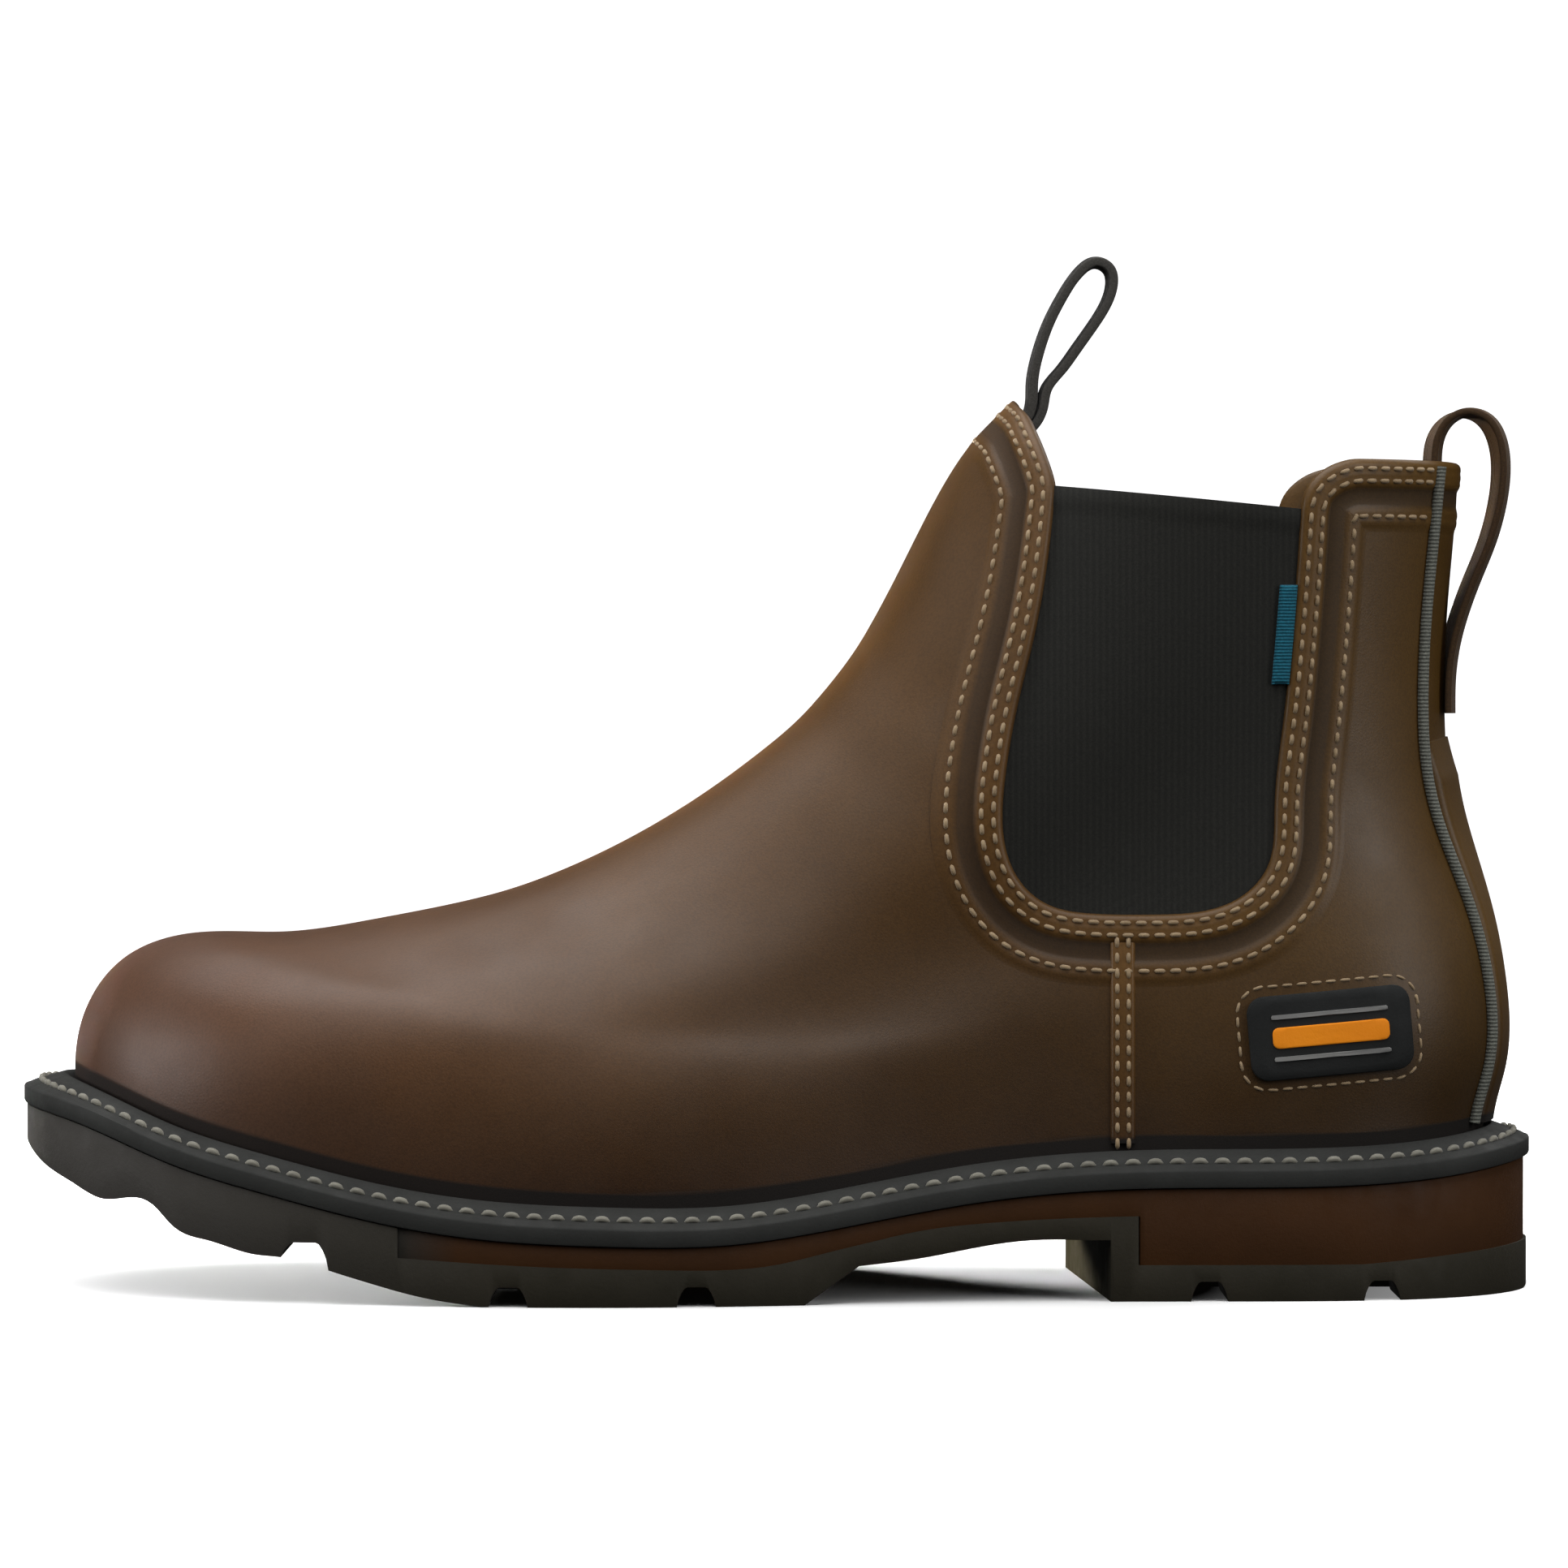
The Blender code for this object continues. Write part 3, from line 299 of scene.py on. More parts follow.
    def find(self, places: Points, side: Side) -> tuple[Points, Points]:
        """Find the surface's angle and v under side-view places.

        Args:
            places: rows of (X, Z).
            side: the side of the boot.

        Returns:
            The angles and the values of v.
        """
        ts, vs = np.meshgrid(np.linspace(0, 1, 81), np.linspace(0, 1, 81), indexing="ij")
        grid = self.side_view(ts, vs)
        near = np.array([np.argmin(((grid - p)**2).sum(-1)) for p in places])
        t = ts.ravel()[near].copy()
        v = vs.ravel()[near].copy()
        small = 1e-4
        for _ in range(12):
            here = self.side_view(t, v)
            by_t = (self.side_view(t + small, v) - self.side_view(t - small, v)) / (2 * small)
            by_v = (self.side_view(t, v + small) - self.side_view(t, v - small)) / (2 * small)
            miss = places - here
            size = by_t[:, 0] * by_v[:, 1] - by_t[:, 1] * by_v[:, 0]
            size = np.where(np.abs(size) < 1e-9, 1e-9, size)
            t = np.clip(t + 0.8 * (miss[:, 0] * by_v[:, 1] - miss[:, 1] * by_v[:, 0]) / size, 0.0002, 0.9998)
            v = np.clip(v + 0.8 * (miss[:, 1] * by_t[:, 0] - miss[:, 0] * by_t[:, 1]) / size, 0.0002, 0.9998)
        return side.value * np.arccos(1 - 2 * t), v

    def march(self, angle: Points, v: Points, distances: Sequence[float]) -> tuple[Points, Points]:
        """Walk over the surface at right angles to a path on it.

        Args:
            angle: the path's angles.
            v: the path's values of v.
            distances: rising or falling distances from the path, the first one 0.

        Returns:
            Angles and v, one row for each distance.
        """
        angles = [np.array(angle, float)]
        ups = [np.array(v, float)]
        along = unit(np.gradient(self.surface(angle, v), axis=0))
        for step in np.diff(distances):
            parts = max(1, int(abs(step) / (1.0 * MM)))
            a = angles[-1].copy()
            u = ups[-1].copy()
            for _ in range(parts):
                around, up = self.tangents(a, u)
                across = unit(np.cross(unit(np.cross(up, around)), along)) * step / parts
                aa = (around * around).sum(-1)
                au = (around * up).sum(-1)
                uu = (up * up).sum(-1)
                ra = (around * across).sum(-1)
                ru = (up * across).sum(-1)
                size = aa * uu - au**2
                a = a + (ra * uu - ru * au) / size
                u = np.clip(u + (ru * aa - ra * au) / size, 0.0, 1.0)
            angles.append(a)
            ups.append(u)
        return np.array(angles), np.array(ups)

    def back_angle(self, v: Points, half: float) -> Points:
        """Return how far from the back, as an angle, a line at this half-width runs."""
        share = self._share(Side.OUTER, np.ones_like(v), v)
        return np.arcsin(half / (share * self.ball_width / 2))

    def sole_outline(self, inset: float, steps: int) -> Points:
        """Return the sole's plan outline, moved inward by inset."""
        angles = np.linspace(-math.pi, math.pi, steps, endpoint=False)
        small = 1e-4
        rim = np.zeros(steps)
        here = self.surface(angles, rim)[:, :2]
        tangent = unit(self.surface(angles + small, rim)[:, :2] - here)
        outward = np.stack((-tangent[:, 1], tangent[:, 0]), axis=1)
        t = (1 - np.cos(angles)) / 2
        ledge = cubic(self.ledge_places, np.reshape(self.ledges, (-1, 1)))(t)
        return here + outward * (ledge - inset)

    def gore_edge(self, grow: float, steps: int = 120) -> Points:
        """Return the gore's opening in side view, moved out from it by grow."""
        rows = np.asarray(self.gore_rows, float)
        low = self.peak_height - self.gore_front_drop - self.gore_depth
        across = self.gore_front + rows[:, 0] * self.gore_width
        points = np.stack((across, low + rows[:, 1] * self.gore_depth), axis=1)
        line = path(points)(np.linspace(0, 1, steps))
        tangent = unit(np.gradient(line, axis=0))
        return line + np.stack((tangent[:, 1], -tangent[:, 0]), axis=1) * grow

    def leather_edge(self) -> Points:
        """Return the leather's whole upper edge in side view, from peak to back collar."""
        edge = self.gore_edge(0.0)
        peak = np.asarray(self.peak_rows, float)
        peak_x = self.gore_front + peak[:, 0] * self.gore_width
        front = np.stack((peak_x, edge[0, 1] - peak[:, 1] * self.gore_depth), axis=1)
        rise = self.collar_height - edge[-1, 1]
        quarter = np.asarray(self.quarter_rows, float)
        rear_x = edge[-1, 0] + quarter[:, 0] * self.gore_width
        rear = np.stack((rear_x, edge[-1, 1] + quarter[:, 1] * rise), axis=1)
        return np.vstack((front, edge, rear))

    def cut_outline(self) -> Points:
        """Return the outline of all that is open above the leather."""
        line = self.leather_edge()
        past = self.along_x(self.open_back)
        ceiling = self.peak_height * self.open_top
        ends = np.array([(past, self.collar_height), (past, ceiling), (line[0, 0], ceiling)])
        return np.vstack((line, ends))


class Nodes:
    """A short way to wire shader nodes in one material."""

    def __init__(self, name: str) -> None:
        """Start a material with a Principled BSDF."""
        self.material = bpy.data.materials.new(name)
        self.material.use_nodes = True
        self.tree = self.material.node_tree
        self.shader = self.tree.nodes["Principled BSDF"]

    def add(self, kind: str, **values: object) -> bpy.types.Node:
        """Add a node and set its own properties.

        Args:
            kind: the node's type name.
            values: property names and values.

        Returns:
            The new node.
        """
        node = self.tree.nodes.new(kind)
        for name, value in values.items():
            setattr(node, name, value)
        return node

    def link(self, out: bpy.types.NodeSocket, into: bpy.types.NodeSocket) -> None:
        """Join two sockets."""
        self.tree.links.new(out, into)

    def place(self) -> bpy.types.NodeSocket:
        """Return the object's own coordinates."""
        return self.add("ShaderNodeTexCoord").outputs["Object"]

    def noise(self, scale: float, detail: float = 4.0, roughness: float = 0.55,
              squeeze: tuple[float, float, float] = (1.0, 1.0, 1.0)) -> bpy.types.NodeSocket:
        """Return a noise value in object space; scale is in repeats a metre."""
        mapping = self.add("ShaderNodeMapping")
        mapping.inputs["Scale"].default_value = squeeze
        self.link(self.place(), mapping.inputs["Vector"])
        noise = self.add("ShaderNodeTexNoise")
        noise.inputs["Scale"].default_value = scale
        noise.inputs["Detail"].default_value = detail
        noise.inputs["Roughness"].default_value = roughness
        self.link(mapping.outputs["Vector"], noise.inputs["Vector"])
        return noise.outputs["Fac"]

    def cells(self, scale: float) -> bpy.types.NodeSocket:
        """Return the distance to the edge of small cells, as leather grain has them."""
        voronoi = self.add("ShaderNodeTexVoronoi", feature="DISTANCE_TO_EDGE")
        voronoi.inputs["Scale"].default_value = scale
        self.link(self.place(), voronoi.inputs["Vector"])
        return voronoi.outputs["Distance"]

    def attribute(self, name: str) -> bpy.types.NodeSocket:
        """Return a value stored on the mesh's points."""
        return self.add("ShaderNodeAttribute", attribute_name=name).outputs["Fac"]

    def ramp(self, value: bpy.types.NodeSocket, stops: Sequence) -> bpy.types.NodeSocket:
        """Return a colour ramp of (place, colour) stops driven by value."""
        node = self.add("ShaderNodeValToRGB")
        elements = node.color_ramp.elements
        while len(elements) < len(stops):
            elements.new(0.5)
        for element, (place, colour) in zip(elements, stops):
            element.position = place
            element.color = (*colour, 1.0)
        self.link(value, node.inputs["Fac"])
        return node.outputs["Color"]

    def span(self, value: bpy.types.NodeSocket, old: tuple[float, float],
             new: tuple[float, float]) -> bpy.types.NodeSocket:
        """Return value taken from the old range to the new one, clamped."""
        node = self.add("ShaderNodeMapRange")
        for key, number in zip(("From Min", "From Max", "To Min", "To Max"), (*old, *new)):
            node.inputs[key].default_value = number
        self.link(value, node.inputs["Value"])
        return node.outputs["Result"]

    def mix(self, factor: bpy.types.NodeSocket | float, a: object, b: object,
            blend: str = "MIX") -> bpy.types.NodeSocket:
        """Return a mix of two colours or colour sockets.

        Args:
            factor: how much of the second, a number or a socket.
            a: the first colour.
            b: the second colour.
            blend: how they are blended.

        Returns:
            The mixed colour's socket.
        """
        node = self.add("ShaderNodeMix", data_type="RGBA", blend_type=blend)
        if isinstance(factor, float):
            node.inputs[0].default_value = factor
        else:
            self.link(factor, node.inputs[0])
        for socket, value in ((node.inputs[6], a), (node.inputs[7], b)):
            if isinstance(value, bpy.types.NodeSocket):
                self.link(value, socket)
            else:
                socket.default_value = (*value, 1.0)
        return node.outputs[2]

    def scale(self, colour: bpy.types.NodeSocket, factor: bpy.types.NodeSocket) -> bpy.types.NodeSocket:
        """Return a colour times a factor."""
        node = self.add("ShaderNodeVectorMath", operation="SCALE")
        self.link(colour, node.inputs[0])
        self.link(factor, node.inputs["Scale"])
        return node.outputs[0]

    def larger(self, first: bpy.types.NodeSocket,
               second: bpy.types.NodeSocket) -> bpy.types.NodeSocket:
        """Return the larger of two values."""
        node = self.add("ShaderNodeMath", operation="MAXIMUM")
        self.link(first, node.inputs[0])
        self.link(second, node.inputs[1])
        return node.outputs[0]

    def axis(self, name: str) -> bpy.types.NodeSocket:
        """Return the object's own X, Y or Z."""
        split = self.add("ShaderNodeSeparateXYZ")
        self.link(self.place(), split.inputs[0])
        return split.outputs[name]

    def bump(self, height: bpy.types.NodeSocket, distance: float, strength: float = 1.0,
             under: bpy.types.NodeSocket | None = None) -> bpy.types.NodeSocket:
        """Return a bumped normal from a height value, over another one if given."""
        node = self.add("ShaderNodeBump")
        node.inputs["Strength"].default_value = strength
        node.inputs["Distance"].default_value = distance
        self.link(height, node.inputs["Height"])
        if under is not None:
            self.link(under, node.inputs["Normal"])
        return node.outputs["Normal"]

    def set(self, **values: object) -> None:
        """Set the shader's own sockets, with _ for a space in their names."""
        for name, value in values.items():
            self.shader.inputs[name.replace("_", " ")].default_value = value


@dataclass(frozen=True)
class LeatherFinish:
    """Oiled smooth leather, darker in its pores, with painted shade low down on the boot and painted light
    and shade carried by its tone.
    """

    name: str
    toe: tuple[float, float, float] = (0.092, 0.043, 0.025)
    middle: tuple[float, float, float] = (0.083, 0.036, 0.008)
    heel: tuple[float, float, float] = (0.079, 0.040, 0.007)
    # painted shade at the bottom of the leather: how dark it gets and its hue
    dark: float = 0.38
    low_shade_hue: tuple[float, float, float] = (1.0, 0.9, 0.82)
    roughness: tuple[float, float] = (0.42, 0.54)
    dull: float = 0.85
    grain: float = 1500.0
    tones: tuple[float, float] = (0.12, 1.88)

    def make(self) -> bpy.types.Material:
        """Return the leather material."""
        n = Nodes(self.name)
        along = n.span(n.axis("X"), (-0.15, 0.15), (0.0, 1.0))
        base = n.ramp(along, ((0.0, self.toe), (0.42, self.middle), (1.0, self.heel)))
        cloud = n.ramp(n.noise(22.0, 6.0, 0.65), ((0.3, (0.80, 0.79, 0.78)), (0.7, (1.12, 1.12, 1.12))))
        base = n.mix(1.0, base, cloud, "MULTIPLY")
        # painted shade: the colour darkens toward the welt, as the low attribute says
        low_shade_colour = tuple(self.dark * share for share in self.low_shade_hue)
        low = n.ramp(n.attribute("low"), ((0.0, (1, 1, 1)), (1.0, low_shade_colour)))
        base = n.mix(1.0, base, low, "MULTIPLY")
        speck = n.ramp(n.noise(1800.0, 2.0), ((0.35, (0.86, 0.86, 0.86)), (0.6, (1.05, 1.05, 1.05))))
        base = n.mix(1.0, base, speck, "MULTIPLY")
        # the tone attribute scales the colour: painted shadow along the welt, painted highlights and shade on
        # the toe, vamp, waist and facing, and the lighter tone given to the stay and seam strip
        base = n.scale(base, n.span(n.attribute("tone"), (-1.0, 1.0), self.tones))
        n.link(base, n.shader.inputs["Base Color"])
        worn = n.span(n.noise(60.0, 6.0), (0.3, 0.7), self.roughness)
        dull = n.span(n.attribute("tone"), (-0.6, 0.0), (self.dull, 0.0))
        n.link(n.larger(worn, dull), n.shader.inputs["Roughness"])
        grain = n.bump(n.cells(self.grain), 0.00008, 0.35)
        soft = n.bump(n.noise(90.0, 4.0), 0.0003, 0.15, grain)
        n.link(soft, n.shader.inputs["Normal"])
        n.set(Specular_IOR_Level=0.36, Coat_Weight=0.03, Coat_Roughness=0.4)
        return n.material


@dataclass(frozen=True)
class RubberFinish:
    """Moulded rubber with a fine matt texture and a little dust."""

    name: str
    colour: tuple[float, float, float]
    light: tuple[float, float, float]
    roughness: tuple[float, float] = (0.60, 0.78)
    texture: float = 0.00012
    front: tuple[float, float, float] = (0.0, 0.0, 0.0)
    front_span: tuple[float, float] | None = None

    def make(self) -> bpy.types.Material:
        """Return the rubber material, with another colour toward the front if front_span is given."""
        n = Nodes(self.name)
        base = n.mix(n.span(n.noise(45.0, 6.0), (0.35, 0.7), (0.0, 1.0)), self.colour, self.light)
        if self.front_span is not None:
            base = n.mix(n.span(n.axis("X"), self.front_span, (0.0, 1.0)), self.front, base)
        n.link(base, n.shader.inputs["Base Color"])
        n.link(n.span(n.noise(220.0, 4.0), (0.3, 0.7), self.roughness), n.shader.inputs["Roughness"])
        n.link(n.bump(n.noise(1400.0, 5.0, 0.7), self.texture, 0.6), n.shader.inputs["Normal"])
        n.set(Specular_IOR_Level=0.22)
        return n.material


@dataclass(frozen=True)
class WovenFinish:
    """Cloth made of ribs: elastic, webbing, lining or a covered cord."""

    name: str
    colour: tuple[float, float, float]
    light: tuple[float, float, float]
    ribs: float = 700.0
    axis: str = "X"
    depth: float = 0.0002
    roughness: float = 0.85
    sheen: float = 0.06

    def make(self) -> bpy.types.Material:
        """Return the woven material."""
        n = Nodes(self.name)
        wave = n.add("ShaderNodeTexWave", wave_type="BANDS", bands_direction=self.axis, wave_profile="SIN")
        wave.inputs["Scale"].default_value = self.ribs / 6.28
        wave.inputs["Distortion"].default_value = 0.6
        wave.inputs["Detail"].default_value = 2.0
        wave.inputs["Detail Scale"].default_value = 3.0
        n.link(n.place(), wave.inputs["Vector"])
        rib = wave.outputs["Fac"]
        base = n.mix(n.span(rib, (0.2, 0.9), (0.0, 1.0)), self.colour, self.light)
        fleck = n.ramp(n.noise(2400.0, 2.0), ((0.35, (0.75, 0.75, 0.75)), (0.65, (1.15, 1.15, 1.15))))
        n.link(n.mix(1.0, base, fleck, "MULTIPLY"), n.shader.inputs["Base Color"])
        fine = n.bump(n.noise(2600.0, 3.0), 0.00012, 0.5)
        n.link(n.bump(rib, self.depth, 0.7, fine), n.shader.inputs["Normal"])
        n.set(Roughness=self.roughness, Sheen_Weight=self.sheen, Sheen_Roughness=0.5, Specular_IOR_Level=0.3)
        return n.material


@dataclass(frozen=True)
class ThreadFinish:
    """Waxed sewing thread."""

    name: str
    colour: tuple[float, float, float]
    light: tuple[float, float, float]

    def make(self) -> bpy.types.Material:
        """Return the thread material."""
        n = Nodes(self.name)
        base = n.mix(n.span(n.noise(160.0, 3.0), (0.3, 0.7), (0.0, 1.0)), self.colour, self.light)
        n.link(base, n.shader.inputs["Base Color"])
        n.link(n.bump(n.noise(4200.0, 2.0), 0.0001, 0.6), n.shader.inputs["Normal"])
        n.set(Roughness=0.65, Sheen_Weight=0.2, Specular_IOR_Level=0.35)
        return n.material


@dataclass(frozen=True)
class FloorFinish:
    """A plain pale studio floor, evenly white away from the boot."""

    name: str = "studio_floor"
    colour: tuple[float, float, float] = (0.93, 0.93, 0.93)
    glow: tuple[float, float] = (0.0, 1.0)
    glow_reach: tuple[float, float] = (0.09, 0.26)

    def make(self) -> bpy.types.Material:
        """Return the floor material."""
        n = Nodes(self.name)
        n.set(Base_Color=(*self.colour, 1.0), Roughness=0.9, Specular_IOR_Level=0.1)
        n.set(Emission_Color=(1.0, 1.0, 1.0, 1.0))
        away = n.add("ShaderNodeVectorMath", operation="LENGTH")
        n.link(n.place(), away.inputs[0])
        glow = n.span(away.outputs["Value"], self.glow_reach, self.glow)
        n.link(glow, n.shader.inputs["Emission Strength"])
        return n.material


class Finishes:
    """Every finish of the boot, made once."""

    def __init__(self) -> None:
        """Make the materials."""
        self.leather = LeatherFinish("oiled_leather").make()
        self.grey_rubber = RubberFinish("grey_rubber", (0.017, 0.0145, 0.008), (0.026, 0.022, 0.014),
                                        front=(0.050, 0.046, 0.041), front_span=(-0.13, -0.055)).make()
        self.welt_rubber = RubberFinish("welt_rubber", (0.020, 0.0205, 0.019), (0.030, 0.031, 0.029)).make()
        self.brown_rubber = RubberFinish("brown_rubber", (0.040, 0.0135, 0.0015), (0.054, 0.019, 0.003),
                                         front=(0.026, 0.024, 0.020), front_span=(-0.075, -0.063)).make()
        self.patch_rubber = RubberFinish("patch_rubber", (0.010, 0.011, 0.011),
                                         (0.016, 0.017, 0.017)).make()
        self.patch_orange = RubberFinish("patch_orange", (0.88, 0.26, 0.006), (0.95, 0.30, 0.010)).make()
        self.patch_grey = RubberFinish("patch_grey", (0.18, 0.18, 0.175), (0.25, 0.25, 0.24)).make()
        self.elastic = WovenFinish("black_elastic", (0.010, 0.0100, 0.0080), (0.014, 0.0138, 0.0112),
                                   1500.0, "X", 0.00008).make()
        self.lining = WovenFinish("grey_lining", (0.060, 0.050, 0.040), (0.10, 0.088, 0.07),
                                  2200.0, "X").make()
        self.footbed = WovenFinish("dark_footbed", (0.020, 0.020, 0.020), (0.045, 0.043, 0.040),
                                   1800.0, "Y").make()
        self.front_web = WovenFinish("black_webbing", (0.012, 0.011, 0.010), (0.050, 0.047, 0.042),
                                     2600.0, "Y").make()
        self.back_web = WovenFinish("brown_webbing", (0.040, 0.019, 0.005), (0.090, 0.045, 0.013),
                                    2600.0, "Y").make()
        self.piping = WovenFinish("piping_cover", (0.100, 0.104, 0.088), (0.17, 0.175, 0.15),
                                  2600.0, "Z").make()
        self.tab = WovenFinish("teal_tab", (0.002, 0.075, 0.12), (0.006, 0.13, 0.19),
                               3000.0, "Z").make()
        self.thread = ThreadFinish("tan_thread", (0.24, 0.165, 0.088), (0.34, 0.245, 0.14)).make()
        self.welt_thread = ThreadFinish("grey_thread", (0.15, 0.143, 0.115), (0.22, 0.21, 0.172)).make()


def grid_faces(rows: int, columns: int, round_rows: bool = False, round_columns: bool = False) -> Points:
    """Return the quads of a grid of points.

    Args:
        rows: how many rows of points.
        columns: how many points in a row.
        round_rows: whether the last row joins the first.
        round_columns: whether each row closes on itself.

    Returns:
        An array of four indices a quad.
    """
    i = np.arange(rows if round_rows else rows - 1)
    j = np.arange(columns if round_columns else columns - 1)
    i, j = np.meshgrid(i, j, indexing="ij")
    i2 = (i + 1) % rows
    j2 = (j + 1) % columns
    quads = np.stack((i * columns + j, i2 * columns + j, i2 * columns + j2, i * columns + j2), axis=-1)
    return quads.reshape(-1, 4)


def build_mesh(name: str, points: Points, faces: Sequence, materials: Sequence[bpy.types.Material],
               smooth_angle: float = 40.0) -> bpy.types.Object:
    """Make an object from points and faces and turn its faces outward.

    Args:
        name: the object's name.
        points: its points.
        faces: its faces, as rows of indices.
        materials: its materials, the first one on every face.
        smooth_angle: edges sharper than this, in degrees, stay sharp.

    Returns:
        The new object.
    """
    mesh = bpy.data.meshes.new(name)
    faces = [tuple(int(k) for k in face) for face in faces]
    mesh.from_pydata(np.asarray(points, float).tolist(), [], faces)
    work = bmesh.new()
    work.from_mesh(mesh)
    bmesh.ops.recalc_face_normals(work, faces=work.faces)
    work.to_mesh(mesh)
    work.free()
    mesh.shade_smooth()
    mesh.set_sharp_from_angle(angle=math.radians(smooth_angle))
    made = bpy.data.objects.new(name, mesh)
    bpy.context.scene.collection.objects.link(made)
    for material in materials:
        mesh.materials.append(material)
    return made


def ribbon_faces(outer: Points, inner: Points) -> tuple[Points, list]:
    """Join two grids of points of one shape into a closed slab.

    Args:
        outer: the first grid, rows by columns by 3.
        inner: the second grid.

    Returns:
        The points and the faces.
    """
    rows, columns = outer.shape[:2]
    points = np.concatenate((outer.reshape(-1, 3), inner.reshape(-1, 3)))
    under = rows * columns
    quads = grid_faces(rows, columns)
    faces = [*quads, *(quads[:, ::-1] + under)]
    edge = [i * columns for i in range(rows)]
    edge += [(rows - 1) * columns + j for j in range(1, columns)]
    edge += [i * columns + columns - 1 for i in range(rows - 2, -1, -1)]
    edge += list(range(columns - 2, 0, -1))
    faces += [(a, b, under + b, under + a) for a, b in zip(edge, edge[1:] + edge[:1])]
    return points, faces


def tube(name: str, centres: Points, radius: float, sides: int,
         material: bpy.types.Material) -> bpy.types.Object:
    """Make a round tube with capped ends.

    Args:
        name: the object's name.
        centres: the centre line.
        radius: the tube's radius.
        sides: how many sides it has.
        material: its material.

    Returns:
        The new object.
    """
    tangent = unit(np.gradient(centres, axis=0))
    across = unit(np.cross(tangent, (1.0, 0.0, 0.0)))
    other = np.cross(tangent, across)
    turn = np.linspace(0, 2 * math.pi, sides, endpoint=False)
    ring = np.cos(turn)[:, None, None] * across + np.sin(turn)[:, None, None] * other
    points = (centres + radius * ring).transpose(1, 0, 2).reshape(-1, 3)
    count = len(centres)
    caps = [tuple(range(sides)), tuple(range((count - 1) * sides, count * sides))]
    faces = [*grid_faces(count, sides, False, True), *caps]
    return build_mesh(name, points, faces, [material])


def prism(name: str, outline: Points, axis: int, low: float, high: float,
          materials: Sequence[bpy.types.Material] = ()) -> bpy.types.Object:
    """Make a prism from a flat outline.

    Args:
        name: the object's name.
        outline: its outline, in X and Z for axis 1 and in X and Y for axis 2.
        axis: the axis that it is stretched along.
        low: its lower end on that axis.
        high: its upper end.
        materials: its materials.

    Returns:
        The new object.
    """
    count = len(outline)
    points = np.zeros((2 * count, 3))
    keep = [0, 2] if axis == 1 else [0, 1]
    points[:count, keep] = outline
    points[count:, keep] = outline
    points[:count, axis] = low
    points[count:, axis] = high
    faces = [(i, (i + 1) % count, count + (i + 1) % count, count + i) for i in range(count)]
    faces += [tuple(range(count)), tuple(range(count, 2 * count))]
    return build_mesh(name, points, faces, materials)


class Cut(Enum):
    """The two ways to cut one solid by another."""

    OUT = "DIFFERENCE"
    KEEP = "INTERSECT"


def shade(piece: bpy.types.Object, angle: float) -> None:
    """Shade a piece smooth, with edges sharper than angle, in degrees, kept sharp."""
    piece.data.shade_smooth()
    piece.data.set_sharp_from_angle(angle=math.radians(angle))


def apply_changes(target: bpy.types.Object) -> None:
    """Turn the object's modifiers into its mesh."""
    evaluated = target.evaluated_get(bpy.context.evaluated_depsgraph_get())
    mesh = bpy.data.meshes.new_from_object(evaluated)
    target.modifiers.clear()
    target.data = mesh


def carve(target: bpy.types.Object, cutter: bpy.types.Object, cut: Cut) -> None:
    """Cut target by cutter for good, and remove the cutter.

    Args:
        target: the object that is cut.
        cutter: the object that cuts it.
        cut: whether the cutter's inside goes or stays.
    """
    change = target.modifiers.new("cut", "BOOLEAN")
    change.operation = cut.value
    change.object = cutter
    change.solver = "MANIFOLD"
    apply_changes(target)
    bpy.data.objects.remove(cutter)


def soften(target: bpy.types.Object, width: float, angle: float = 35.0, segments: int = 2) -> None:
    """Round the object's sharp edges for good.

    Args:
        target: the object.
        width: the rounding's width.
        angle: edges sharper than this, in degrees, are rounded.
        segments: how many steps the rounding has.
    """
    bevel = target.modifiers.new("soften", "BEVEL")
    bevel.width = width
    bevel.segments = segments
    bevel.limit_method = "ANGLE"
    bevel.angle_limit = math.radians(angle)
    apply_changes(target)
    shade(target, 50.0)


@dataclass
class Stitcher:
    """Sews rows of stitches, each a small capsule of thread sunk at both ends."""

    sides: int = 8
    rings: int = 7

    def template(self, length: float, radius: float) -> tuple[Points, Points]:
        """Return the points and faces of one stitch along X, up along Z.

        Args:
            length: the stitch's visible length.
            radius: the thread's radius.

        Returns:
            Points and faces.
        """
        along = np.linspace(-1, 1, self.rings)
        turn = np.linspace(0, 2 * math.pi, self.sides, endpoint=False)
        swell = np.sqrt(np.clip(1 - np.abs(along)**4, 0.02, 1))
        points = np.zeros((self.rings, self.sides, 3))
        points[..., 0] = along[:, None] * length / 2
        points[..., 1] = swell[:, None] * radius * np.cos(turn)
        points[..., 2] = swell[:, None] * radius * np.sin(turn) - (along[:, None]**2) * radius * 0.9
        faces = [tuple(f) for f in grid_faces(self.rings, self.sides, False, True)]
        faces.append(tuple(range(self.sides)))
        faces.append(tuple(range((self.rings - 1) * self.sides, self.rings * self.sides)))
        return points.reshape(-1, 3), faces

    def sew(self, name: str, rows: Sequence, pitch: float, length: float, radius: float,
            material: bpy.types.Material) -> bpy.types.Object:
        """Sew stitches along rows on a surface, joined in one mesh.

        Args:
            name: the object's name.
            rows: pairs of (points, normals), each one row of stitches.
            pitch: the distance from stitch to stitch.
            length: the visible length of a stitch.
            radius: the thread's radius.
            material: the thread's material.

        Returns:
            The new object.
        """
        local, local_faces = self.template(length, radius)
        points = []
        faces = []
        count = 0
        for line, normals in rows:
            joined = even(np.hstack((line, normals)), pitch)
            places = joined[:, :3]
            up = unit(joined[:, 3:])
            along = unit(np.gradient(places, axis=0))
            across = unit(np.cross(up, along))
            up = np.cross(along, across)
            for place, a, c, u in zip(places, along, across, up):
                points.append(place + local @ np.stack((a, c, u)))
                faces += [tuple(k + count for k in face) for face in local_faces]
                count += len(local)
        return build_mesh(name, np.concatenate(points), faces, [material], 80.0)


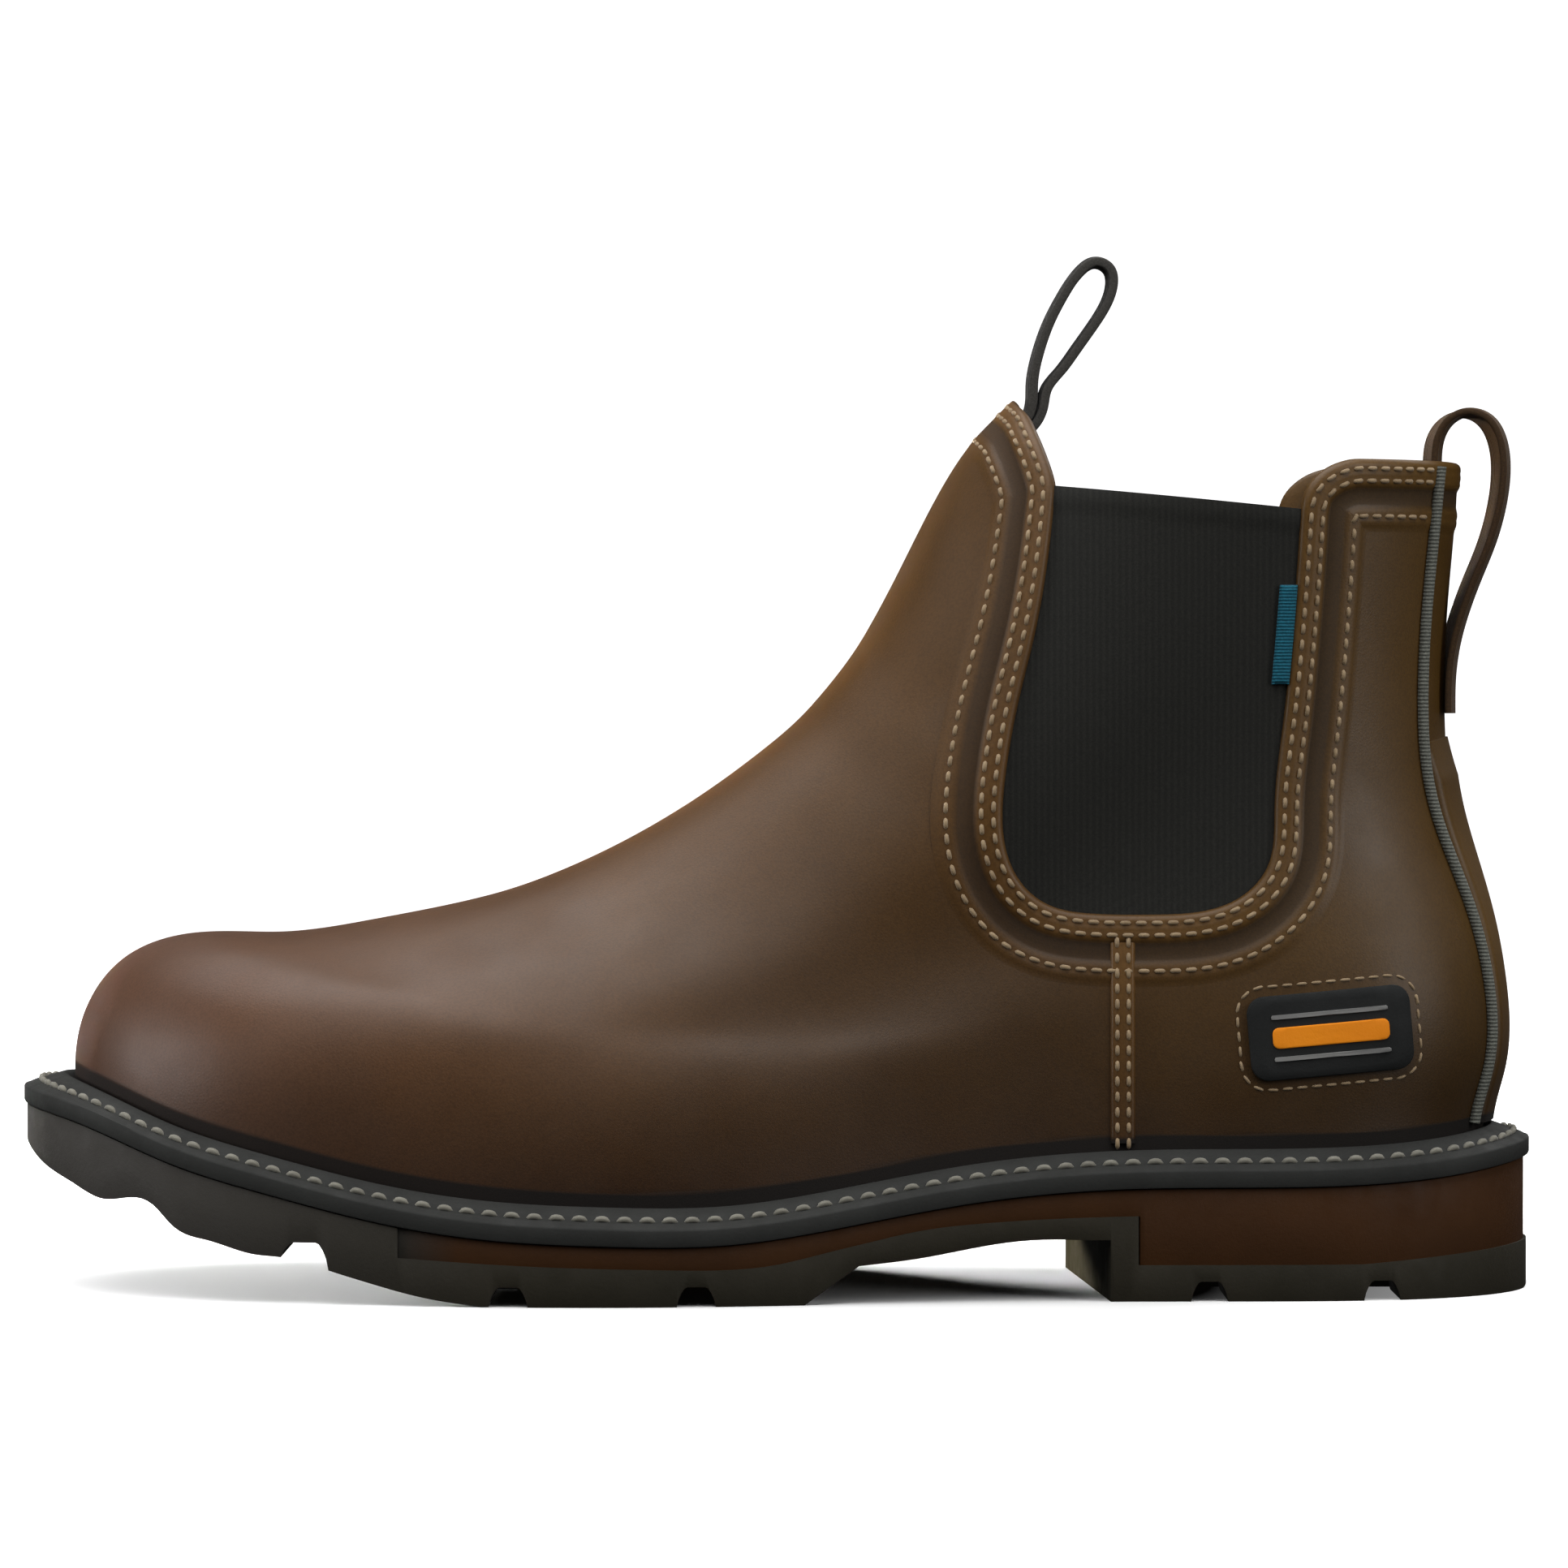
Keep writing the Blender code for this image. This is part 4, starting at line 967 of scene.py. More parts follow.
@dataclass
class Upper:
    """The leather shell with its facing, seams and lining."""

    last: Last
    finishes: Finishes
    wall: float = 0.0024
    columns: int = 420
    rows: int = 190
    inner_rows: int = 70
    thread_radius: float = 0.00046
    stitch_pitch: float = 0.0032
    stitch_length: float = 0.0025
    front_fade: float = 0.6
    back_strip: float = 0.0198
    least_fade: float = 0.12
    # painted shade low on the boot: the height above the welt it reaches, narrower toward the toe, and its
    # fade toward the front
    low_reach: float = 0.040
    low_narrowing: float = 0.014
    low_toe: float = 0.14
    low_power: float = 1.3
    low_front: float = 0.145
    low_length: float = 0.100
    low_least: float = 0.2
    sunk: float = 0.55
    path_step: float = 0.0011
    crease_rows: tuple = (
        # middle x, middle z, half length, half height, slope, depth
        (0.018, 0.108, 0.034, 0.0080, 0.55, 0.00030),
        (0.030, 0.124, 0.030, 0.0080, 0.45, 0.00025),
        (-0.040, 0.062, 0.030, 0.0090, 0.90, 0.00020),
    )
    facing_rows: tuple = (
        # distance from the edge of gores and collar, height above the leather
        (0.0050, -0.00250), (0.0020, -0.00262), (0.0005, -0.00255), (-0.0002, -0.0022),
        (-0.00045, -0.0016), (-0.0005, -0.0009), (-0.0004, -0.0002), (-0.0001, 0.00025),
        (0.0004, 0.00055), (0.0010, 0.00062), (0.0016, 0.00055), (0.0022, 0.00066),
        (0.0028, 0.00068), (0.0034, 0.00058), (0.0040, 0.00064), (0.0046, 0.00050),
        (0.0051, 0.00022), (0.0056, 0.00006), (0.0064, 0.00004), (0.0076, 0.00005),
        (0.0086, 0.00008), (0.0092, 0.00022), (0.0098, 0.00038), (0.0105, 0.00044),
        (0.0112, 0.00034), (0.0118, 0.00040), (0.0124, 0.00038), (0.0130, 0.00020),
        (0.0136, 0.00005), (0.0142, 0.00001),
    )
    facing_light_and_shade: tuple = (
        # distance from the edge, painted tone there from -1 dark to 1 light: painted highlights on the raised
        # band and ridge, painted shade in the channel between them
        (-0.0005, 0.10), (0.0004, 0.55), (0.0046, 0.48), (0.0055, -0.62), (0.0086, -0.45),
        (0.0100, 0.26), (0.0118, 0.26), (0.0142, 0.00),
    )
    # painted light and shade on the leather: a painted highlight low on the toe, a painted highlight on the
    # vamp's side, painted shade at the waist under the gore
    light_and_shade_rows: tuple = (
        # middle x, middle z, half length, half height, tone
        (-0.124, 0.050, 0.026, 0.013, 0.28),
        (-0.060, 0.050, 0.045, 0.012, 0.30),
        (0.025, 0.058, 0.055, 0.022, -0.25),
    )
    edge_shadow: float = 0.0017
    edge_fade: float = 0.0009
    double_rows: tuple = (0.0013, 0.0038)
    outer_row: float = 0.0110

    def edge_path(self, side: Side) -> tuple[Points, Points]:
        """Return the leather's upper edge on the surface, from front centre to back centre."""
        line = even(self.last.leather_edge(), self.path_step)
        front = self.last.side_view(np.zeros(200), np.linspace(0.9, 1, 200))
        front_x = np.interp(line[:, 1], front[:, 1], front[:, 0])
        line = line[line[:, 0] > front_x + 0.0002]
        back_x = float(self.last.side_view(np.ones(1), np.array([0.97]))[0, 0])
        tail = np.arange(line[-1, 0] + self.path_step, back_x - 0.0002, 0.0008)
        line = np.vstack((line, np.stack((tail, np.full_like(tail, self.last.collar_height)), axis=1)))
        angle, v = self.last.find(line, side)
        start = side.value * np.linspace(0.002, abs(angle[0]), 14)[:-1]
        end = side.value * np.linspace(abs(angle[-1]), math.pi - 0.002, 14)[1:]
        top_v = np.interp(self.last.peak_height + 0.0004, front[:, 1], np.linspace(0.9, 1, 200))
        start_v = np.linspace(top_v, v[0], 14)[:-1]
        end_v = np.full(13, v[-1])
        angle = np.concatenate((start, angle, end))
        v = np.concatenate((start_v, v, end_v))
        joined = np.stack((angle, v), axis=1)
        length = travel(self.last.surface(angle, v))
        where = np.linspace(0, length[-1], int(length[-1] / self.path_step))
        angle = np.interp(where, length, joined[:, 0])
        v = np.interp(where, length, joined[:, 1])
        kernel = np.array([1, 2, 3, 2, 1]) / 9
        for values in (angle, v):
            values[2:-2] = np.convolve(values, kernel, "valid")
        return angle, v

    def walk_out(self, side: Side, distances: Sequence[float]) -> tuple[Points, Points]:
        """Walk outward from the leather's edge and straighten each line where it folds.

        Args:
            side: the side of the boot.
            distances: distances from the edge, the first one 0.

        Returns:
            Angles and v, one row for each distance.
        """
        angle, v = self.edge_path(side)
        angles, ups = self.last.march(angle, v, np.array(distances) * side.value)
        edge = self.last.surface(angle, v)
        order = np.arange(len(angle))
        for row, distance in enumerate(distances):
            if distance <= 0.0015:
                continue
            place = self.last.surface(angles[row], ups[row])
            gap = np.linalg.norm(place[:, None, :] - edge[None, :, :], axis=2).min(axis=1)
            good = gap > 0.97 * distance
            angles[row] = np.interp(order, order[good], angles[row][good])
            ups[row] = np.interp(order, order[good], ups[row][good])
        return angles, ups

    def facing_relief(self, distance: Points) -> Points:
        """Return the facing's height at a distance from the edge."""
        rows = np.asarray(self.facing_rows)
        keep = rows[:, 1] > -0.0001
        return np.interp(distance, rows[keep, 0], rows[keep, 1], right=0.0)

    def facing_fade(self, angle: Points) -> Points:
        """Return how much of the facing's height is left toward the front centre line."""
        share = np.clip(np.abs(angle) / self.front_fade, 0, 1)
        return self.least_fade + (1 - self.least_fade) * share**2 * (3 - 2 * share)

    def make_shell(self) -> bpy.types.Object:
        """Make the leather wall with its lining, cut open at the gores and collar."""
        last = self.last
        angles = np.linspace(-math.pi, math.pi, self.columns, endpoint=False)
        ups = np.linspace(0, 1, self.rows)
        u, a = np.meshgrid(ups, angles, indexing="ij")
        outside = last.layer(a, u, self.relief(a, u))
        inner_ups = np.linspace(1, 0, self.inner_rows)
        u2, a2 = np.meshgrid(inner_ups, angles, indexing="ij")
        inside = last.layer(a2, u2, -self.wall)
        points = np.concatenate((outside, inside))
        points[..., 2] = np.maximum(points[..., 2], last.deck(points[..., 0]) + last.gap)
        faces = grid_faces(self.rows + self.inner_rows, self.columns, True, True)
        shell = build_mesh("leather_upper", points.reshape(-1, 3), faces,
                           [self.finishes.leather, self.finishes.lining])
        index = np.zeros(len(faces), int)
        index[self.rows * self.columns:(self.rows + self.inner_rows - 1) * self.columns] = 1
        shell.data.polygons.foreach_set("material_index", index)
        reach = last.ball_width
        carve(shell, prism("open_above", last.cut_outline(), 1, -reach, reach), Cut.OUT)
        self.mark_tones(shell)
        shade(shell, 45.0)
        return shell

    def relief(self, angle: Points, v: Points) -> Points:
        """Return the soft troughs and ridges that wear has left, as heights.

        Args:
            angle: the surface's angles.
            v: its values of v.

        Returns:
            Heights above the last.
        """
        flat = self.last.surface(angle, v)
        x = flat[..., 0]
        z = flat[..., 2]
        height = np.zeros_like(x)
        for middle_x, middle_z, half, thick, slope, depth in self.crease_rows:
            along = (x - middle_x) * math.cos(slope) - (z - middle_z) * math.sin(slope)
            across = (x - middle_x) * math.sin(slope) + (z - middle_z) * math.cos(slope)
            height -= depth * np.exp(-(along / half)**2 - (across / thick)**2)
        return height

    def mark_tones(self, piece: bpy.types.Object, extra_tone: Points | float = 0.0) -> None:
        """Store on each point how low it lies, which sets the painted shade low down, and its tone: painted
        shadow along the welt, painted highlights and shade from the light and shade rows, and any extra tone.

        Args:
            piece: the leather piece.
            extra_tone: a further tone, from -1 dark to 1 light, one for all points or one for each; the
                facing's is painted light and shade.
        """
        count = len(piece.data.vertices)
        flat = np.zeros(count * 3)
        piece.data.vertices.foreach_get("co", flat)
        place = flat.reshape(-1, 3)
        # painted shade: darker the nearer the welt, fading toward the toe
        above = place[:, 2] - self.last.feather(place[:, 0])
        reach = self.low_reach - self.low_narrowing * np.clip(-place[:, 0] / self.low_toe, 0, 1)
        low = np.clip(1 - above / reach, 0, 1)**self.low_power
        fade = np.clip((place[:, 0] + self.low_front) / self.low_length, self.low_least, 1.0)
        values = piece.data.attributes.new("low", "FLOAT", "POINT")
        values.data.foreach_set("value", low * fade)
        # painted shadow: the leather's last few millimetres above the welt darken to near black
        tone = np.array(extra_tone, float) - 2 * np.clip((self.edge_shadow - above) / self.edge_fade, 0, 1)
        # painted highlights and shade from the light and shade rows
        for x, z, half, tall, amount in self.light_and_shade_rows:
            tone = tone + amount * np.exp(-((place[:, 0] - x) / half)**2 - ((place[:, 2] - z) / tall)**2)
        values = piece.data.attributes.new("tone", "FLOAT", "POINT")
        values.data.foreach_set("value", tone)

    def make_facing(self, side: Side) -> bpy.types.Object:
        """Make the turned and stitched facing along the leather's upper edge."""
        rows = np.asarray(self.facing_rows)
        angle, v = self.edge_path(side)
        angles = np.zeros((len(rows), len(angle)))
        ups = np.zeros_like(angles)
        order = np.argsort(rows[:, 0])
        zero = int(np.searchsorted(rows[order, 0], 0.0))
        for part in (order[zero:], order[:zero][::-1]):
            a, u = self.walk_out(side, np.concatenate(([0.0], rows[part, 0])))
            angles[part] = a[1:]
            ups[part] = u[1:]
        depth = np.where(rows[:, 1:2] > 0, rows[:, 1:2] * self.facing_fade(angles), rows[:, 1:2])
        points = self.last.layer(angles, ups, depth)
        faces = grid_faces(*angles.shape)
        piece = build_mesh(f"gore_facing_{side.name.lower()}", points.reshape(-1, 3), faces,
                           [self.finishes.leather], 60.0)
        # painted highlights on the raised band and ridge and painted shade in the channel
        table = np.asarray(self.facing_light_and_shade)
        tone = np.interp(rows[:, 0], table[:, 0], table[:, 1])[:, None] * np.ones(angles.shape[1])
        self.mark_tones(piece, tone.ravel())
        return piece

    def stitch_rows(self, side: Side) -> tuple[list, list]:
        """Return the double row along the edge and the single row further out."""
        rows = []
        for distance in (*self.double_rows, self.outer_row):
            a, u = self.walk_out(side, (0.0, distance))
            keep = np.abs(a[1]) < math.pi - self.last.back_angle(u[1], self.back_strip)
            angle, v = a[1][keep], u[1][keep]
            normals = self.last.normal(angle, v)
            fade = self.facing_fade(angle)
            lift = self.facing_relief(np.array([distance])) * fade + self.thread_radius * (fade - self.sunk)
            rows.append((self.last.surface(angle, v) + normals * lift[:, None], normals))
        return rows[:2], rows[2:]

    def build(self) -> list[bpy.types.Object]:
        """Make every piece of the leather upper."""
        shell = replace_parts(self.make_shell(), "upper")
        pieces = [shell]
        sewing = Stitcher()
        for side in Side:
            pieces.append(self.make_facing(side))
            double, single = self.stitch_rows(side)
            pieces.append(sewing.sew(f"stitches_{side.name.lower()}", double + single, self.stitch_pitch,
                                     self.stitch_length, self.thread_radius, self.finishes.thread))
        return pieces


@dataclass
class Gores:
    """The elastic panels in the sides."""

    last: Last
    finishes: Finishes
    recess: float = 0.0009
    thickness: float = 0.0014
    hem: float = 0.0045
    hem_lift: float = 0.00035
    arc: tuple[float, float] = (24.0, 140.0)
    foot_v: float = 0.34
    overlap: float = 0.0001
    rib: float = 0.00003
    rib_pitch: float = 0.00155
    columns: int = 150
    rows: int = 120

    def make(self, side: Side) -> bpy.types.Object:
        """Make one panel of ribbed elastic with a hem along its top."""
        last = self.last
        angles = side.value * np.radians(np.linspace(*self.arc, self.columns))
        ups = np.linspace(self.foot_v, 1.0, self.rows)
        a, u = np.meshgrid(angles, ups, indexing="ij")
        flat = last.surface(a, u)
        edge = last.gore_edge(0.0)
        slope = (edge[-1, 1] - edge[0, 1]) / (edge[-1, 0] - edge[0, 0])
        top = edge[0, 1] + (flat[..., 0] - edge[0, 0]) * slope
        below = top - flat[..., 2]
        under_hem = np.clip((below - self.hem) / MM, 0, 1)
        rib = self.rib * np.sin(flat[..., 0] / self.rib_pitch * 2 * math.pi) * under_hem
        half_hem = self.hem / 2
        hem = self.hem_lift * np.clip(1 - np.abs(below - half_hem) / half_hem, 0, 1)**0.4
        outside = last.layer(a, u, -self.recess + rib + hem)
        inside = last.layer(a, u, -self.recess - self.thickness)
        points, faces = ribbon_faces(outside, inside)
        name = f"elastic_gore_{side.name.lower()}"
        gore = build_mesh(name, points, faces, [self.finishes.elastic], 60.0)
        reach = side.value * last.ball_width
        near = side.value * last.gap
        outline = last.gore_edge(self.overlap)
        carve(gore, prism("gore_outline", outline, 1, min(near, reach), max(near, reach)), Cut.KEEP)
        shade(gore, 50.0)
        return gore

    def build(self) -> list[bpy.types.Object]:
        """Make both panels."""
        names = {Side.OUTER: "gore_outer", Side.INNER: "gore_inner"}
        return [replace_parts(self.make(side), names[side]) for side in Side]


@dataclass
class Sole:
    """Outsole, midsole and welt with its stitches."""

    last: Last
    finishes: Finishes
    outline_steps: int = 260
    tread_inset: float = 0.0004
    midsole_inset: float = 0.0010
    midsole_front: float = 0.26
    breast: float = 0.7179
    breast_skew: float = 0.0070
    skew_reach: float = 0.0400
    breast_wall: float = 0.0056
    heel_base: float = 0.0076
    heel_base_rise: float = 0.0036
    heel_base_flat: float = 0.0450
    heel_corner: float = 0.0028
    tread_end: float = 0.5190
    lug_depth: float = 0.0040
    channel_width: float = 0.0060
    channel_depth: float = 0.0034
    tread_channel: float = 0.0170
    heel_channel: float = 0.0110
    channel_front: float = 0.1700
    channel_margin: float = 0.0120
    blank_height: float = 0.0600
    margin: float = 0.0100
    groove_inset: float = 0.0025
    welt_width: float = 0.0075
    softening: float = 0.0002
    welt_pitch: float = 0.0045
    welt_stitch: float = 0.0033
    welt_thread: float = 0.00062
    groove_column: int = 8
    welt_steps: int = 420
    lip_v: float = 0.035
    overlap: float = 0.0004
    # along, height
    toe_rows: tuple = (
        (0.0000, 0.711), (0.0190, 0.600), (0.0420, 0.520), (0.0640, 0.455), (0.0990, 0.438),
        (0.1110, 0.352), (0.1350, 0.286), (0.1650, 0.228), (0.1840, 0.216), (0.2144, 0.160),
        (0.2400, 0.106), (0.2696, 0.050), (0.3020, 0.012), (0.3240, 0.000),
    )
    # along, height
    shank_rows: tuple = ((0.5540, 0.176), (0.5950, 0.209), (0.6305, 0.254), (0.6600, 0.282), (0.7050, 0.284))
    # along, height
    midsole_rows: tuple = (
        (0.2600, 0.227), (0.2950, 0.211), (0.3640, 0.188), (0.4300, 0.176), (0.4700, 0.174), (0.5035, 0.197),
        (0.5300, 0.240), (0.5620, 0.292), (0.5960, 0.342), (0.6300, 0.368), (0.6860, 0.390), (0.7500, 0.402),
    )
    # along, width, where it ends from the middle
    side_grooves: tuple = (
        (0.1990, 0.0310, 0.0), (0.3300, 0.0250, 0.0170), (0.4500, 0.0250, 0.0170), (0.7800, 0.0240, 0.0110),
        (0.8920, 0.0240, 0.0110),
    )
    # along, width, where it ends from the middle
    middle_grooves: tuple = (
        (0.2650, 0.0200, 0.0170), (0.3900, 0.0200, 0.0170), (0.8360, 0.0200, 0.0110),
    )
    # across, up
    groove_section: tuple = (
        (0.00, 0.00), (0.05, 0.40), (0.12, 0.70), (0.20, 0.93), (0.27, 1.00), (0.73, 1.00), (0.80, 0.93),
        (0.88, 0.70), (0.95, 0.40), (1.00, 0.00),
    )

    def ground(self, x: float) -> float:
        """Return the height of the tread between its grooves."""
        rows = np.asarray(self.toe_rows)
        if x > self.last.along_x(rows[-1, 0]):
            return 0.0
        return float(cubic(self.last.along_x(rows[:, 0]), rows[:, 1:] * self.last.feather_height)(x)[..., 0])

    def tread_line(self) -> list:
        """Return the underside from toe to heel in side view, without its grooves."""
        last = self.last
        rows = np.asarray(self.toe_rows)
        steps = np.linspace(float(last.along_x(0.0)), float(last.along_x(rows[-1, 0])), 90)
        line = [(float(x), self.ground(float(x))) for x in steps]
        line.append((float(last.along_x(self.tread_end)), 0.0))
        shank = np.asarray(self.shank_rows)
        arch = cubic(last.along_x(shank[:, 0]), shank[:, 1:] * last.feather_height)
        xs = np.linspace(float(last.along_x(shank[0, 0])), float(last.along_x(shank[-1, 0])), 20)
        line += [(float(x), float(arch(x)[..., 0])) for x in xs]
        breast = float(last.along_x(self.breast))
        line.append((breast, float(shank[-1, 1] * last.feather_height)))
        line.append((breast, 0.0))
        back = float(last.along_x(1.0))
        for step in range(7):
            turn = math.pi / 2 * step / 6
            inward = self.heel_corner * (1 - math.sin(turn))
            line.append((back - inward, self.heel_corner * (1 - math.cos(turn))))
        line.append((back + self.margin, self.heel_corner))
        return line

    def midsole_underside(self) -> list:
        """Return the midsole's underside in side view."""
        last = self.last
        rows = np.asarray(self.midsole_rows)
        curve = cubic(last.along_x(rows[:, 0]), rows[:, 1:] * last.feather_height)
        front = float(last.along_x(self.midsole_front))
        block = float(last.along_x(self.breast)) + self.breast_wall + last.gap
        line = [(float(x), float(curve(x)[..., 0])) for x in np.linspace(front, block, 50)]
        line.append((block, self.heel_base))
        line.append((block + self.heel_base_flat, self.heel_base))
        line.append((float(last.along_x(1.0)) + self.margin, self.heel_base + self.heel_base_rise))
        return line

    def deck_line(self, start: float, stop: float) -> list:
        """Return the deck's side-view line between two places."""
        return [(float(x), float(self.last.deck(x))) for x in np.linspace(start, stop, 60)]

    def skewed(self, line: list, y: float) -> list:
        """Return a side-view line moved forward near the breast, more on the inner side."""
        breast = float(self.last.along_x(self.breast))
        inward = y / self.last.ball_width + 0.5
        moved = []
        for x, z in line:
            near = max(0.0, 1 - (max(abs(x - breast) - self.breast_wall, 0.0) / self.skew_reach))
            moved.append((x - self.breast_skew * inward * near, z))
        return moved

    def sole_layer(self, name: str, inset: float, top: list, under: list,
                   finish: bpy.types.Material) -> bpy.types.Object:
        """Make a layer of the sole between side-view lines, its underside skewed at the breast.

        Args:
            name: the object's name.
            inset: how far its outline lies inside the welt's.
            top: its upper side-view line.
            under: its lower side-view line.
            finish: its material.

        Returns:
            The new object.
        """
        outline = self.last.sole_outline(inset, self.outline_steps)
        piece = prism(name, outline, 2, -self.margin, self.blank_height, [finish])
        reach = self.last.ball_width
        cutter = prism("side_view", np.array(top + self.skewed(under, -reach)), 1, -reach, reach)
        far = top + self.skewed(under, reach)
        for vertex, (x, _) in zip(list(cutter.data.vertices)[len(far):], far):
            vertex.co.x = x
        carve(piece, cutter, Cut.KEEP)
        return piece

    def cut_groove(self, outsole: bpy.types.Object, row: tuple, low: float, high: float) -> None:
        """Cut one groove of the tread between two values of Y."""
        middle = float(self.last.along_x(row[0]))
        size = row[1] * self.last.sole_length
        roof = self.ground(middle) + self.lug_depth
        outline = []
        for across, up in self.groove_section:
            x = middle + (across - 0.5) * size
            outline.append((x, self.ground(x) * (1 - up) + roof * up))
        outline.append((outline[-1][0], outline[-1][1] - self.margin))
        outline.append((outline[0][0], outline[0][1] - self.margin))
        carve(outsole, prism("groove", np.array(outline), 1, low, high), Cut.OUT)

    def cut_lugs(self, outsole: bpy.types.Object) -> None:
        """Cut the grooves and channels between the lugs."""
        reach = self.last.ball_width
        for row in self.side_grooves:
            if row[2] == 0.0:
                self.cut_groove(outsole, row, -reach, reach)
            else:
                self.cut_groove(outsole, row, -reach, -row[2])
                self.cut_groove(outsole, row, row[2], reach)
        for row in self.middle_grooves:
            self.cut_groove(outsole, row, -row[2], row[2])
        along_x = self.last.along_x
        margin = self.channel_margin
        ends = (
            (along_x(self.channel_front), along_x(self.tread_end) - margin, self.tread_channel),
            (along_x(self.breast) + margin, along_x(1.0) - margin, self.heel_channel),
        )
        half = self.channel_width / 2
        for start, stop, place in ends:
            for side in Side:
                middle = side.value * place
                low, high = middle - half, middle + half
                outline = np.array([(start, low), (stop, low), (stop, high), (start, high)])
                carve(outsole, prism("channel", outline, 2, -self.margin, self.channel_depth), Cut.OUT)

    def make_outsole(self) -> bpy.types.Object:
        """Make the grey outsole."""
        last = self.last
        front = float(last.along_x(self.midsole_front)) - last.gap
        breast = float(last.along_x(self.breast))
        step = [(x - last.gap if x > breast else x, z - last.gap) for x, z in self.midsole_underside()]
        step[0] = (front, step[0][1])
        step[-1] = (step[-1][0] + last.gap, step[-1][1])
        top = self.deck_line(float(last.along_x(0.0)) - self.margin, front)
        outsole = self.sole_layer("rubber_outsole", self.tread_inset, top, step + self.tread_line()[::-1],
                                  self.finishes.grey_rubber)
        self.cut_lugs(outsole)
        soften(outsole, self.softening)
        return outsole

    def make_midsole(self) -> bpy.types.Object:
        """Make the brown midsole and heel block."""
        under = [(x, z - self.overlap) for x, z in self.midsole_underside()]
        under[0] = (under[0][0] - self.overlap, under[0][1])
        top = self.deck_line(under[-1][0], under[0][0])
        midsole = self.sole_layer("brown_midsole", self.midsole_inset, top, under, self.finishes.brown_rubber)
        soften(midsole, self.softening)
        return midsole

    def welt_section(self) -> tuple[list, list]:
        """Return the welt's section, as shares across the ledge and heights above its foot."""
        groove = self.groove_inset / self.welt_width
        top = self.last.welt_edge
        rise = self.last.welt_rise
        across = [0.0, -0.02, -0.02, 0.0, 0.05, 0.12]
        height = [0.0, 0.0004, top - 0.0006, top - 0.0002, top, top + rise * 0.10]
        for share, sink in ((-0.12, 0.0), (-0.07, 0.0002), (0.0, 0.0003), (0.07, 0.0002), (0.12, 0.0)):
            across.append(groove + share)
            height.append(top + rise * (groove + share) - sink)
        for share, up in ((0.6, 0.6), (0.76, 0.76), (0.84, 0.80), (0.92, 0.66), (1.0, 0.40)):
            across.append(share)
            height.append(top + rise * up)
        return across, height

    def make_welt(self) -> tuple[bpy.types.Object, tuple[Points, Points]]:
        """Make the welt and return it with the line of its stitches."""
        last = self.last
        steps = self.welt_steps
        angles = np.linspace(-math.pi, math.pi, steps, endpoint=False)
        outline = last.sole_outline(0.0, steps)
        rim = last.layer(angles, np.zeros(steps), last.gap * 1.4)
        high = last.layer(angles, np.full(steps, self.lip_v), last.gap * 1.2)
        across, height = self.welt_section()
        columns = []
        for share, lift in zip(across, height):
            blend = np.clip(share, 0, 1) * np.clip(lift / (last.welt_edge + last.welt_rise), 0, 1)
            inner = rim[:, :2] * (1 - blend) + high[:, :2] * blend
            place = outline * (1 - share) + inner * share
            foot = last.deck(place[:, 0]) + last.gap
            columns.append(np.column_stack((place, foot + lift)))
        foot = rim.copy()
        foot[:, 2] = last.deck(foot[:, 0]) + last.gap
        columns.append(foot)
        points = np.stack(columns, axis=1)
        faces = grid_faces(steps, points.shape[1], True, True)
        welt = build_mesh("stitched_welt", points.reshape(-1, 3), faces, [self.finishes.welt_rubber], 50.0)
        middle = self.groove_column
        groove = np.vstack((points[:, middle], points[:1, middle]))
        inward = unit(points[:, middle + 2] - points[:, middle - 2])
        tangent = unit(np.gradient(groove, axis=0))[:-1]
        normal = unit(np.cross(tangent, inward))
        normal *= np.sign(normal[:, 2:3])
        normal = np.vstack((normal, normal[:1]))
        return welt, (groove + normal * self.welt_thread * 0.75, normal)

    def build(self) -> list[bpy.types.Object]:
        """Make every piece of the sole."""
        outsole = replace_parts(self.make_outsole(), "outsole")
        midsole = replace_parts(self.make_midsole(), "midsole")
        welt, row = self.make_welt()
        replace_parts(welt, "welt")
        thread = Stitcher().sew("welt_stitches", [row], self.welt_pitch, self.welt_stitch, self.welt_thread,
                                self.finishes.welt_thread)
        return [outsole, midsole, welt, thread]


@dataclass
class Insole:
    """The cloth-covered footbed, a little dished, with rounded edges."""

    last: Last
    finishes: Finishes
    wall: float = 0.0024
    thickness: float = 0.0045
    dish: float = 0.0012
    edge: float = 0.045
    end_angle: float = 0.16

    def build(self) -> list[bpy.types.Object]:
        """Make the footbed on the sole's upper face."""
        last = self.last
        angles = np.linspace(self.end_angle, math.pi - self.end_angle, 140)
        inward = -self.wall - 2 * last.gap
        sides = [last.layer(side.value * angles, np.full_like(angles, 0.01), inward) for side in Side]
        across = np.linspace(-1, 1, 61)
        blend = ((across + 1) / 2)[:, None, None]
        bottom = sides[0] * (1 - blend) + sides[1] * blend
        bottom[..., 2] = last.deck(bottom[..., 0]) + last.gap
        along = np.linspace(-1, 1, len(angles))
        to_edge = np.minimum(1 - np.abs(across)[:, None], 1 - np.abs(along)[None, :])
        round_edge = np.sqrt(1 - (1 - np.clip(to_edge / self.edge, 0, 1))**2)
        dish = self.dish * (1 - np.abs(across)[:, None]**2.5) * np.ones(len(angles))
        top = bottom.copy()
        top[..., 2] += (self.thickness - dish) * (0.25 + 0.75 * round_edge)
        points, faces = ribbon_faces(top, bottom)
        footbed = build_mesh("cloth_footbed", points, faces, [self.finishes.footbed], 60.0)
        return [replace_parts(footbed, "insole")]


